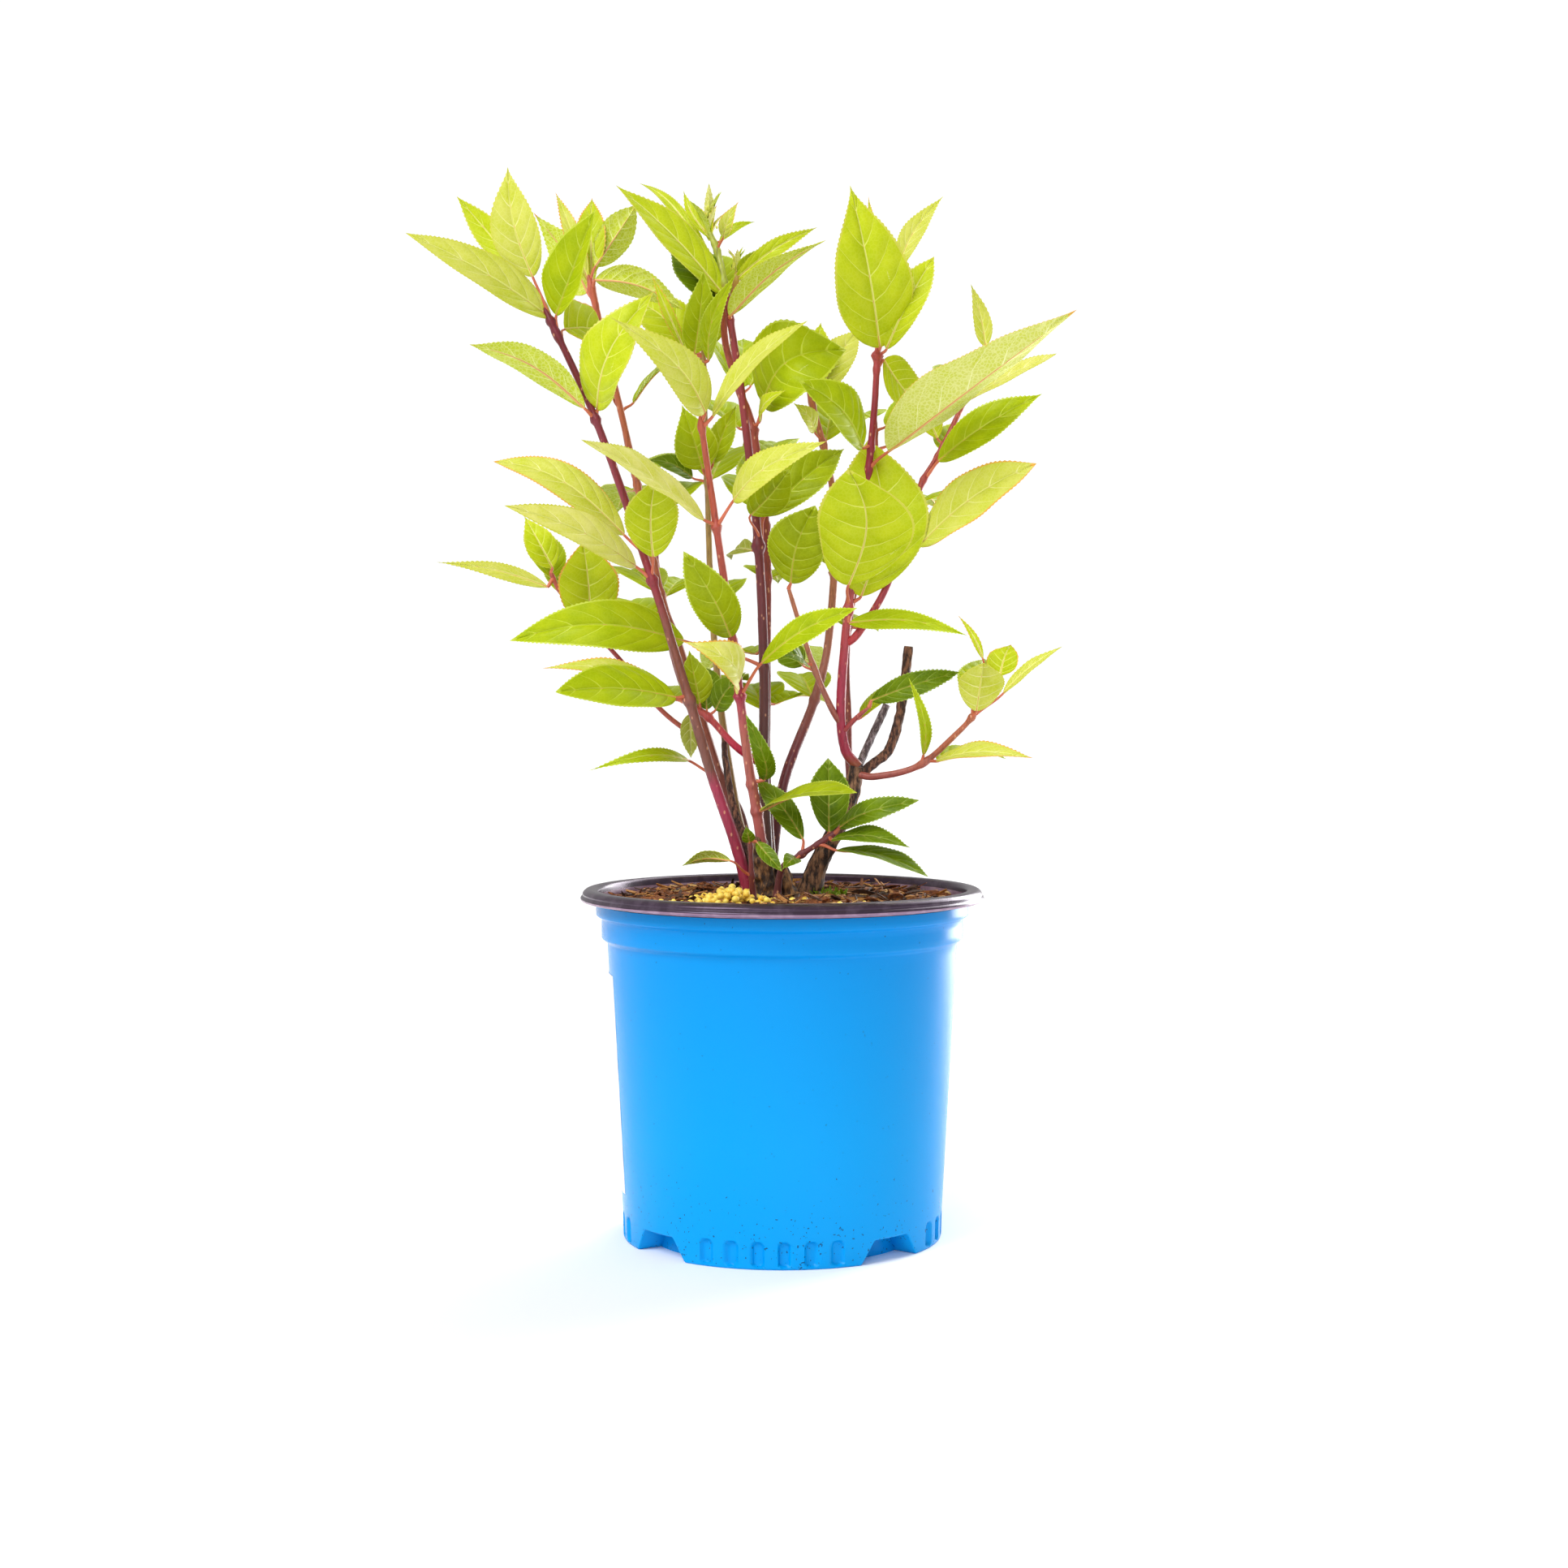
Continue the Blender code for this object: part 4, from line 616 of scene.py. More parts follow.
@dataclass(frozen=True)
class CaneBark(Finish):
    """Thin bark of a young cane: glossy red skin that turns brown and streaked where it is older."""

    stops: tuple[tuple[float, str], ...]
    streak: str = "3A1A1C"
    lenticel: str = "D89A78"
    streak_mm: float = 1.1
    streak_draw: float = 0.14
    lenticel_mm: float = 3.4
    lenticel_draw: float = 0.55

    def dress(self, tree: bpy.types.NodeTree, shader: bpy.types.Node) -> None:
        """Build the colour change up the cane, long streaks, and pale breathing pores.

        Args:
            tree: Node tree of the new material.
            shader: Its Principled shader.
        """
        place = add_node(tree, "TexCoord").outputs["Object"]
        height = add_node(tree, "SeparateXYZ", links={0: place}).outputs["Z"]
        (low, hue), *rest = self.stops
        colour = add_node(tree, "RGB")
        colour.outputs[0].default_value = linear(hue)
        colour = colour.outputs[0]
        for high, hue in rest:
            share = add_node(tree, "MapRange", {"From Min": low * MM, "From Max": high * MM},
                             {"Value": height})
            colour = add_node(tree, "Mix", {"data_type": "RGBA", 7: linear(hue)},
                              {0: share.outputs["Result"], 6: colour}).outputs[2]
            low = high
        drawn = add_node(tree, "Mapping", {"Scale": (1.0, 1.0, self.streak_draw)},
                         {"Vector": place}).outputs[0]
        streaks = add_node(tree, "TexNoise", {"Scale": 1 / (self.streak_mm * MM), "Detail": 3.0},
                           {"Vector": drawn})
        dark = add_node(tree, "MapRange", {"From Min": 0.5, "From Max": 0.78, "To Max": 0.55},
                        {"Value": streaks.outputs["Fac"]})
        barred = add_node(tree, "Mix", {"data_type": "RGBA", 7: linear(self.streak)},
                          {0: dark.outputs["Result"], 6: colour})
        stretched = add_node(tree, "Mapping", {"Scale": (1.0, 1.0, self.lenticel_draw)},
                             {"Vector": place}).outputs[0]
        pores = add_node(tree, "TexVoronoi", {"Scale": 1 / (self.lenticel_mm * MM)}, {"Vector": stretched})
        dots = add_node(tree, "MapRange", {"From Min": 0.1, "From Max": 0.2, "To Min": 0.8, "To Max": 0.0},
                        {"Value": pores.outputs["Distance"]})
        dotted = add_node(tree, "Mix", {"data_type": "RGBA", 7: linear(self.lenticel)},
                          {0: dots.outputs["Result"], 6: barred.outputs[2]})
        bump = add_node(tree, "Bump", {"Strength": 0.5, "Distance": 0.18 * MM},
                        {"Height": streaks.outputs["Fac"]})
        tree.links.new(dotted.outputs[2], shader.inputs["Base Color"])
        tree.links.new(bump.outputs["Normal"], shader.inputs["Normal"])
        shader.inputs["Roughness"].default_value = 0.42


@dataclass(frozen=True)
class RoughBark(Finish):
    """Old corky bark: dry dark ridges and fine cracks, with crests painted paler, partly as wear and partly
    as painted highlight.
    """

    dark: str
    # Colour of the crests: partly worn bark, partly painted highlight
    crest: str
    crack_mm: float = 2.6
    crack_draw: float = 0.3
    relief_mm: float = 1.4

    def dress(self, tree: bpy.types.NodeTree, shader: bpy.types.Node) -> None:
        """Build long fissures, paler crests that are partly wear and partly painted highlight, and a deep
        bump.

        Args:
            tree: Node tree of the new material.
            shader: Its Principled shader.
        """
        place = add_node(tree, "TexCoord").outputs["Object"]
        drawn = add_node(tree, "Mapping", {"Scale": (1.0, 1.0, self.crack_draw)},
                         {"Vector": place}).outputs[0]
        ridges = add_node(tree, "TexNoise",
                          {"Scale": 1 / (self.crack_mm * MM), "Detail": 5.0, "Roughness": 0.65},
                          {"Vector": drawn})
        # Paler crests: partly wear, partly painted highlight
        wear_and_highlight = add_node(tree, "MapRange", {"From Min": 0.45, "From Max": 0.62},
                        {"Value": ridges.outputs["Fac"]})
        colour = add_node(tree, "Mix", {"data_type": "RGBA", 6: linear(self.dark), 7: linear(self.crest)},
                          {0: wear_and_highlight.outputs["Result"]})
        bump = add_node(tree, "Bump", {"Strength": 1.0, "Distance": self.relief_mm * MM},
                        {"Height": ridges.outputs["Fac"]})
        tree.links.new(colour.outputs[2], shader.inputs["Base Color"])
        tree.links.new(bump.outputs["Normal"], shader.inputs["Normal"])
        shader.inputs["Roughness"].default_value = 0.7


@dataclass(frozen=True)
class ShreddedWood(Finish):
    """Shredded composted bark: damp fibres that run along each chip."""

    dark: str
    light: str
    # Fibres are finer than this, and are drawn in bundles so that they show
    fibre_mm: float = 1.4

    def dress(self, tree: bpy.types.NodeTree, shader: bpy.types.Node) -> None:
        """Build two browns in fibrous patches.

        Args:
            tree: Node tree of the new material.
            shader: Its Principled shader.
        """
        place = add_node(tree, "TexCoord").outputs["Object"]
        fibres = add_node(tree, "TexNoise",
                          {"Scale": 1 / (self.fibre_mm * MM), "Detail": 4.0, "Distortion": 0.8},
                          {"Vector": place})
        share = add_node(tree, "MapRange", {"From Min": 0.38, "From Max": 0.64},
                         {"Value": fibres.outputs["Fac"]})
        colour = add_node(tree, "Mix", {"data_type": "RGBA", 6: linear(self.dark), 7: linear(self.light)},
                          {0: share.outputs["Result"]})
        bump = add_node(tree, "Bump", {"Strength": 0.8, "Distance": 0.25 * MM},
                        {"Height": fibres.outputs["Fac"]})
        tree.links.new(colour.outputs[2], shader.inputs["Base Color"])
        tree.links.new(bump.outputs["Normal"], shader.inputs["Normal"])
        shader.inputs["Roughness"].default_value = 0.8


@dataclass(frozen=True)
class BluePolypropylene(Finish):
    """Injection-moulded polypropylene, dyed bright blue: glossy and faintly wavy, with soil splashed on."""

    colour: str = "0098E2"
    shade: str = "008AD8"
    soil: str = "16204A"
    shade_from: float = 60.0
    shade_to: float = 175.0
    speck_mm: float = 1.5
    splash_mm: float = 22.0
    splash_from: float = 14.0
    splash_to: float = 52.0
    wave_mm: float = 30.0

    def dress(self, tree: bpy.types.NodeTree, shader: bpy.types.Node) -> None:
        """Build a slow change of blue, soil specks near the foot, and the mould's faint waves.

        Args:
            tree: Node tree of the new material.
            shader: Its Principled shader.
        """
        place = add_node(tree, "TexCoord").outputs["Object"]
        height = add_node(tree, "SeparateXYZ", links={0: place}).outputs["Z"]
        band = add_node(tree, "MapRange", {"From Min": self.shade_from * MM, "From Max": self.shade_to * MM},
                        {"Value": height})
        blue = add_node(tree, "Mix", {"data_type": "RGBA", 6: linear(self.colour), 7: linear(self.shade)},
                        {0: band.outputs["Result"]})
        specks = add_node(tree, "TexNoise", {"Scale": 1 / (self.speck_mm * MM), "Detail": 1.0},
                          {"Vector": place})
        crowd = add_node(tree, "TexNoise", {"Scale": 1 / (self.splash_mm * MM), "Detail": 1.0},
                         {"Vector": place})
        low = add_node(tree, "MapRange", {"From Min": self.splash_from * MM, "From Max": self.splash_to * MM,
                                          "To Min": 0.16, "To Max": 0.0}, {"Value": height})
        reach = add_node(tree, "Math", {"operation": "MULTIPLY"},
                         {0: low.outputs["Result"], 1: crowd.outputs["Fac"]})
        level = add_node(tree, "Math", {"operation": "ADD"}, {0: specks.outputs["Fac"], 1: reach.outputs[0]})
        dots = add_node(tree, "MapRange", {"From Min": 0.77, "From Max": 0.8, "To Max": 0.8},
                        {"Value": level.outputs[0]})
        dirty = add_node(tree, "Mix", {"data_type": "RGBA", 7: linear(self.soil)},
                         {0: dots.outputs["Result"], 6: blue.outputs[2]})
        waves = add_node(tree, "TexNoise", {"Scale": 1 / (self.wave_mm * MM), "Detail": 1.0},
                         {"Vector": place})
        bump = add_node(tree, "Bump", {"Strength": 0.25, "Distance": 0.4 * MM},
                        {"Height": waves.outputs["Fac"]})
        tree.links.new(dirty.outputs[2], shader.inputs["Base Color"])
        tree.links.new(bump.outputs["Normal"], shader.inputs["Normal"])
        shader.inputs["Roughness"].default_value = 0.22
        shader.inputs["IOR"].default_value = 1.49
        shader.inputs["Specular IOR Level"].default_value = 0.13


@dataclass(frozen=True)
class DarkPolypropylene(Finish):
    """Black polypropylene with a satin skin, with pale patches that are partly scuffs and dust and partly
    painted sheen.
    """

    colour: str = "30242F"
    # Pale colour: partly dust, partly painted sheen
    dust_and_sheen: str = "665868"
    sheen_tint: str = "E6CCF2"
    dust_and_sheen_mm: float = 7.0

    def dress(self, tree: bpy.types.NodeTree, shader: bpy.types.Node) -> None:
        """Build pale patches, partly dust and partly painted sheen, and a slightly uneven gloss.

        Args:
            tree: Node tree of the new material.
            shader: Its Principled shader.
        """
        place = add_node(tree, "TexCoord").outputs["Object"]
        dust_and_sheen = add_node(tree, "TexNoise", {"Scale": 1 / (self.dust_and_sheen_mm * MM), "Detail": 4.0},
                        {"Vector": place})
        share = add_node(tree, "MapRange", {"From Min": 0.45, "From Max": 0.75, "To Max": 0.35},
                         {"Value": dust_and_sheen.outputs["Fac"]})
        colour = add_node(tree, "Mix", {"data_type": "RGBA", 6: linear(self.colour), 7: linear(self.dust_and_sheen)},
                          {0: share.outputs["Result"]})
        bump = add_node(tree, "Bump", {"Strength": 0.2, "Distance": 0.2 * MM},
                        {"Height": dust_and_sheen.outputs["Fac"]})
        tree.links.new(colour.outputs[2], shader.inputs["Base Color"])
        tree.links.new(bump.outputs["Normal"], shader.inputs["Normal"])
        shader.inputs["Roughness"].default_value = 0.24
        shader.inputs["IOR"].default_value = 1.49
        shader.inputs["Specular IOR Level"].default_value = 0.6
        shader.inputs["Specular Tint"].default_value = linear(self.sheen_tint)


@dataclass(frozen=True)
class CoatedPaper(Finish):
    """Coated white paper label: smooth and matt, a little grey where it has been handled."""

    colour: str = "F2F2EE"
    grey: str = "DCDCDA"
    mark_mm: float = 9.0

    def dress(self, tree: bpy.types.NodeTree, shader: bpy.types.Node) -> None:
        """Build faint grey handling marks.

        Args:
            tree: Node tree of the new material.
            shader: Its Principled shader.
        """
        place = add_node(tree, "TexCoord").outputs["Object"]
        marks = add_node(tree, "TexNoise", {"Scale": 1 / (self.mark_mm * MM), "Detail": 3.0},
                         {"Vector": place})
        share = add_node(tree, "MapRange", {"From Min": 0.5, "From Max": 0.75},
                         {"Value": marks.outputs["Fac"]})
        colour = add_node(tree, "Mix", {"data_type": "RGBA", 6: linear(self.colour), 7: linear(self.grey)},
                          {0: share.outputs["Result"]})
        tree.links.new(colour.outputs[2], shader.inputs["Base Color"])
        shader.inputs["Roughness"].default_value = 0.55


@dataclass(frozen=True)
class CoatedGranule(Finish):
    """Resin-coated fertiliser: waxy yellow shells, each a little paler or browner in places."""

    colour: str = "FFE468"
    shade: str = "F0BE3A"
    mottle_mm: float = 3.5

    def dress(self, tree: bpy.types.NodeTree, shader: bpy.types.Node) -> None:
        """Build a soft mottling of two yellows.

        Args:
            tree: Node tree of the new material.
            shader: Its Principled shader.
        """
        place = add_node(tree, "TexCoord").outputs["Object"]
        mottle = add_node(tree, "TexNoise", {"Scale": 1 / (self.mottle_mm * MM), "Detail": 2.0},
                          {"Vector": place})
        share = add_node(tree, "MapRange", {"From Min": 0.42, "From Max": 0.68},
                         {"Value": mottle.outputs["Fac"]})
        colour = add_node(tree, "Mix", {"data_type": "RGBA", 6: linear(self.colour), 7: linear(self.shade)},
                          {0: share.outputs["Result"]})
        tree.links.new(colour.outputs[2], shader.inputs["Base Color"])
        shader.inputs["Roughness"].default_value = 0.4


@dataclass(frozen=True)
class BackgroundPaper(Finish):
    """Matt white background paper: rough pulp that shows soft shadows and no gloss."""

    colour: str = "FCFCFD"

    def dress(self, tree: bpy.types.NodeTree, shader: bpy.types.Node) -> None:
        """Set the plain white and the matt surface.

        Args:
            tree: Node tree of the new material.
            shader: Its Principled shader.
        """
        shader.inputs["Base Color"].default_value = linear(self.colour)
        shader.inputs["Roughness"].default_value = 0.9


# Upper and under skins of each tone of leaf, and its veins from above and below; the tones carry painted
# light and shade as well as age
SKINS: dict[Tone, tuple[LeafSkin, LeafSkin, PlainTissue, PlainTissue]] = {
    tone: (LeafSkin(f"leaf_{tone.value}_upper", *upper, 0.22),
           LeafSkin(f"leaf_{tone.value}_under", *under, 0.55, roughness=0.6),
           PlainTissue(f"leaf_{tone.value}_vein", upper[2]),
           PlainTissue(f"leaf_{tone.value}_vein_under", under[2]))
    for tone, upper, under in (
        (Tone.PALE, ("D0D062", "B8C214", "DEDE8A"), ("D0D270", "C2CA40", "E6E8A4")),
        (Tone.GOLD, ("DEDA80", "C4C824", "E8E49C"), ("E0DC8C", "CCCE50", "EEECB0")),
        (Tone.BRIGHT, ("C4CE20", "A6B800", "D2DA52"), ("C6D044", "B2C01C", "DEE48C")),
        (Tone.MID, ("AEBC08", "8EA400", "BCCA30"), ("B0BE38", "9CAC1C", "CED67C")),
        (Tone.OLIVE, ("A2B008", "829200", "B4C230"), ("A4B040", "8C9A24", "C6CE7C")),
        (Tone.DEEP, ("6A8204", "446000", "849824"), ("84983A", "687E20", "AEBC74")),
        (Tone.SAGE, ("A6AA44", "8A9228", "BEC274"), ("A4A858", "8C9240", "C4C890")),
    )
}
MIDRIB = PlainTissue("leaf_midrib", "DCDE78")
MARGIN = PlainTissue("leaf_margin", "C8C83E")
MARGIN_GOLD = PlainTissue("leaf_margin_gold", "DDA83C")
STALK = PlainTissue("leaf_stalk", "C8684A")
STALK_PALE = PlainTissue("leaf_stalk_pale", "D89A62")
BUD_GREEN = PlainTissue("flower_bud", "D2D250")
BUD_DARK = PlainTissue("flower_bud_shaded", "7E9420")
# Second colour of each bark is its crests: partly wear, partly painted highlight
OLD_BARK = RoughBark("weathered_trunk_bark", "26150F", "9A7052")
STUB_BARK = RoughBark("sawn_stub_bark", "38201A", "94644C", 1.8)
DEAD_BARK = RoughBark("dead_grey_bark", "54464A", "A4949A", 1.8)
CROWN_BARK = RoughBark("crown_bark", "2E1A10", "94683E", 3.0)
CUT_WOOD = ShreddedWood("cut_wood", "9A7A5C", "C4A684", 0.8)


class Draft:
    """Vertices, faces and finishes of a piece that is being made, in millimetres."""

    def __init__(self) -> None:
        """Start with nothing."""
        self.points: list[Array] = []
        self.faces: list[tuple[int, ...]] = []
        self.slots: list[int] = []
        self.finishes: list[Finish] = []
        self.count = 0

    def slot_of(self, finish: Finish) -> int:
        """Find the material slot of a finish, added on first use.

        Args:
            finish: The finish.

        Returns:
            Number of its slot.
        """
        if finish not in self.finishes:
            self.finishes.append(finish)
        return self.finishes.index(finish)

    def add(self, points: Array, faces: Iterable[Sequence[int]], finish: Finish | Sequence[Finish]) -> None:
        """Add a shape.

        Args:
            points: Its vertices, one row each.
            faces: Its faces, as numbers of its own vertices.
            finish: One finish for the shape, or one for each face.
        """
        faces = [tuple(int(v) + self.count for v in face) for face in faces]
        self.points.append(np.asarray(points, float).reshape(-1, 3))
        self.count += len(self.points[-1])
        self.faces += faces
        if isinstance(finish, Finish):
            self.slots += [self.slot_of(finish)] * len(faces)
        else:
            self.slots += [self.slot_of(one) for one in finish]

    def piece(self, name: str, slot: str, nodes: Sequence[str] = (), sharp: float = 40.0) -> bpy.types.Object:
        """Make the piece as one mesh that rides on the plant.

        Args:
            name: Name of the piece.
            slot: The record's material slot for the piece; not used.
            nodes: Solids of the frame that it stands for.
            sharp: Angle in degrees above which an edge is shaded sharp.

        Returns:
            The piece.
        """
        mesh = bpy.data.meshes.new(name)
        mesh.from_pydata((np.vstack(self.points) * MM).tolist(), [], self.faces)
        for finish in self.finishes:
            mesh.materials.append(finish.material())
        mesh.polygons.foreach_set("material_index", self.slots)
        mesh.shade_smooth()
        mesh.set_sharp_from_angle(angle=math.radians(sharp))
        mesh.update()
        made = bpy.data.objects.new(name, mesh)
        bpy.context.scene.collection.objects.link(made)
        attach(made, "root")
        if nodes:
            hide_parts(*nodes)
        triangles = sum(len(face) - 2 for face in self.faces)
        log.info("%s: %d triangles", name, triangles)
        return made


def unit(vector: Array) -> Array:
    """Return a vector at length 1."""
    return vector / np.linalg.norm(vector)


def seen(across: float, height: float, depth: float) -> Array:
    """Return the point at a depth behind the pot's middle that is seen from the front at across, height."""
    spread = 1 + depth / EYE_DISTANCE
    return np.array((across * spread, depth, EYE_HEIGHT + (height - EYE_HEIGHT) * spread))


def heading_axis(heading: float, rise: float) -> Array:
    """Return the direction with a compass heading and a rise above level, both in radians."""
    return np.array((math.cos(heading) * math.cos(rise), math.sin(heading) * math.cos(rise), math.sin(rise)))


def between(marks: Sequence[Array], share: float) -> Array:
    """Find a point on the smooth curve between the middle two of four marks.

    Args:
        marks: The four marks.
        share: Share of the way from the second mark to the third.

    Returns:
        The point.
    """
    p0, p1, p2, p3 = marks
    return 0.5 * (2 * p1 + (p2 - p0) * share + (2 * p0 - 5 * p1 + 4 * p2 - p3) * share ** 2
                  + (3 * p1 - p0 - 3 * p2 + p3) * share ** 3)


def distances(path: Array) -> Array:
    """Return how far along a path each of its points lies."""
    return np.concatenate([[0], np.cumsum(np.linalg.norm(np.diff(path, axis=0), axis=1))])


def grid_faces(rows: int, columns: int, round_columns: bool = False) -> list[tuple[int, int, int, int]]:
    """Return the quads between rows of points.

    Args:
        rows: Number of rows.
        columns: Points in each row.
        round_columns: Whether the last point of a row joins its first.

    Returns:
        Faces as numbers of the points, row by row.
    """
    across = columns if round_columns else columns - 1
    return [
        (row * columns + step, row * columns + (step + 1) % columns,
         (row + 1) * columns + (step + 1) % columns, (row + 1) * columns + step)
        for row in range(rows - 1) for step in range(across)
    ]


def tube(path: Array, radii: Array, sides: int, relief: Array | None = None) -> tuple[Array, list]:
    """Build a closed tube whose ring of points turns as little as it can along the way.

    Args:
        path: Points along the middle, one row each.
        radii: Radius at each point.
        sides: Points in each ring.
        relief: Extra radius for each ring and side.

    Returns:
        Vertices and faces, with a flat fan at each end.
    """
    ahead = np.gradient(path, axis=0)
    ahead /= np.linalg.norm(ahead, axis=1, keepdims=True)
    guide = np.eye(3)[np.argmin(np.abs(ahead[0]))]
    across = unit(np.cross(ahead[0], guide))
    turn = np.arange(sides) * math.tau / sides
    rings = np.empty((len(path), sides, 3))
    for number, (centre, axis, radius) in enumerate(zip(path, ahead, radii)):
        across = unit(across - axis * (across @ axis))
        along = np.cross(axis, across)
        reach = radius if relief is None else radius + relief[number]
        rings[number] = centre + (np.cos(turn)[:, None] * across + np.sin(turn)[:, None] * along) * (
            np.reshape(reach, (-1, 1)))
    count = len(path) * sides
    points = np.vstack([rings.reshape(-1, 3), path[0], path[-1]])
    faces: list = grid_faces(len(path), sides, True)
    for side in range(sides):
        after = (side + 1) % sides
        faces.append((count, after, side))
        faces.append((count + 1, count - sides + side, count - sides + after))
    return points, faces


class Route:
    """Smooth way of a stem through a few marks, each read as seen from the front."""

    SEARCH_STEPS = 24
    LENGTH_STEPS = 20
    FEWEST_POINTS = 8

    def __init__(self, marks: Sequence[Sequence[float]]) -> None:
        """Keep the marks.

        Args:
            marks: Across, height and depth of each mark.
        """
        self.marks = np.array(marks, float)
        self.last = len(marks) - 1

    def mark(self, place: float) -> Array:
        """Find where a place on the way is seen.

        Args:
            place: Place from 0 at the foot to the number of the last mark.

        Returns:
            Across, height and depth.
        """
        index = min(max(int(place), 0), self.last - 1)
        start, end = self.marks[index], self.marks[index + 1]
        before = self.marks[index - 1] if index else 2 * start - end
        after = self.marks[index + 2] if index + 2 <= self.last else 2 * end - start
        return between((before, start, end, after), place - index)

    def point(self, place: float) -> Array:
        """Return the point in space at a place."""
        return seen(*self.mark(place))

    def axis(self, place: float) -> Array:
        """Return the direction in which the way runs at a place."""
        return unit(self.point(place + 0.01) - self.point(place - 0.01))

    def find(self, height: float) -> float:
        """Find the highest place at which the way is seen at a height.

        Args:
            height: The height.

        Returns:
            The place.
        """
        step = self.last * self.SEARCH_STEPS
        while step > 0 and self.mark(step / self.SEARCH_STEPS)[1] > height:
            step -= 1
        return step / self.SEARCH_STEPS

    def trace(self, pitch: float) -> tuple[Array, Array]:
        """Step along the way from its foot to its tip.

        Args:
            pitch: Distance between points, in millimetres.

        Returns:
            The places and the points in space.
        """
        steps = self.LENGTH_STEPS
        length = sum(np.linalg.norm(self.point(k / steps) - self.point((k + 1) / steps))
                     for k in range(steps * self.last))
        places = np.linspace(0, self.last, max(self.FEWEST_POINTS, round(length / pitch)))
        return places, np.array([self.point(place) for place in places])


@dataclass
class Blade:
    """Leaf blade as a thin closed shell, with sunk veins, quilted skin between them and a toothed margin."""

    root: Array
    tip: Array
    normal: Array
    leaf: Leaf
    seed: int
    veins: int = 6
    first_vein: float = 0.26
    veined_share: float = 0.66
    vein_crowding: float = 0.92
    small_length: float = 40.0
    small_veins: int = 5
    thickness: float = 0.38
    tooth_pitch: float = 2.3
    tooth_reach: float = 0.55
    vein_width: float = 0.62
    vein_sink: float = 0.10
    vein_ridge: float = 0.14
    midrib_width: float = 0.72
    midrib_sink: float = 0.22
    midrib_ridge: float = 0.5
    quilting: float = 0.05
    bow: float = 0.17
    sweep: float = 2.0
    base_roundness: float = 0.65
    gold_margins: float = 0.3
    upper_columns: tuple[float, ...] = (0.0, 0.3, 0.64, 0.965, 1.0)
    under_columns: tuple[float, ...] = (0.0, 0.5, 1.0)
    draw: random.Random = field(init=False)

    def __post_init__(self) -> None:
        """Work out the blade's own axes and the random part of its shape."""
        self.draw = random.Random(self.seed)
        way = unit(self.tip - self.root)
        self.base = self.root + way * self.leaf.stalk + unit(np.cross(way, self.normal)) * self.leaf.swing
        self.axis = unit(self.tip - self.base)
        self.normal = unit(self.normal - self.axis * (self.normal @ self.axis))
        self.across = np.cross(self.axis, self.normal)
        self.length = float(np.linalg.norm(self.tip - self.base))
        self.half = self.leaf.width / 2
        self.wave = self.draw.uniform(0.02, 0.06)
        self.waves = self.draw.uniform(1.6, 2.6)
        self.phase = self.draw.uniform(0, math.tau)
        if self.length < self.small_length:
            self.veins = min(self.veins, self.small_veins)

    def outline(self, share: Array) -> Array:
        """Work out the outline's half width.

        Args:
            share: Share of the length from the base.

        Returns:
            Half width in millimetres.
        """
        widest = self.leaf.widest
        reach = np.where(share < widest, widest, 1 - widest)
        power = np.where(share < widest, self.base_roundness, self.leaf.tip)
        return self.half * np.maximum(1 - ((share - widest) / reach) ** 2, 0) ** power

    def rows(self) -> tuple[Array, Array, Array, Array]:
        """Lay out the rows of points that run from the midrib to the margin.

        Returns:
            For each row, its share of the length at the margin, which side of a vein it edges (-1, 0 or 1),
            how much of a tooth it carries, and how far it lies from the veins on either side of it.
        """
        order = np.arange(self.veins) / (self.veins - 1)
        marks = self.first_vein + self.veined_share * order ** self.vein_crowding
        stops = [0.0, *marks, 1.0]
        shares, edges, teeth, swells = [0.004, 0.02], [0, 0], [0.0, 0.0], [0.0, 0.1]
        for number, (low, high) in enumerate(zip(stops, stops[1:])):
            count = max(2, 2 * round((high - low) * self.length / self.tooth_pitch))
            first = 0.05 if number == 0 else low
            last = 0.985 if number == self.veins else high
            for step in range(1, count):
                part = step / count
                shares.append(first + (last - first) * part)
                edges.append(0)
                tooth = (step % 2) * min(1.0, max(0.0, (shares[-1] - 0.1) * 6))
                teeth.append(tooth * min(1.0, (1 - shares[-1]) * 7))
                swells.append(math.sin(math.pi * part))
            if number < self.veins:
                shares += [high, high]
                edges += [-1, 1]
                teeth += [0.0, 0.0]
                swells += [0.0, 0.0]
        return np.array(shares), np.array(edges), np.array(teeth), np.array(swells)

    def place(self, share: Array, out: Array, lift: Array) -> Array:
        """Set points of the flat blade into space.

        Args:
            share: Share of the length from the base.
            out: Distance from the midrib, in millimetres, negative on the left.
            lift: Height above the folded blade, in millimetres.

        Returns:
            The points.
        """
        arch = self.leaf.arch
        slope = np.arctan(arch * math.pi * np.cos(math.pi * share))[..., None]
        bulge = (self.length * np.sin(math.pi * share))[..., None]
        middle = self.base + self.axis * (share * self.length)[..., None] + bulge * (
            self.normal * arch + self.across * self.leaf.sway)
        up = self.normal * np.cos(slope) - self.axis * np.sin(slope)
        turn = np.radians(self.leaf.twist) * (share - 0.15)[..., None]
        side = self.across * np.cos(turn) + up * np.sin(turn)
        up = up * np.cos(turn) - self.across * np.sin(turn)
        return middle + side * out[..., None] + up * lift[..., None]

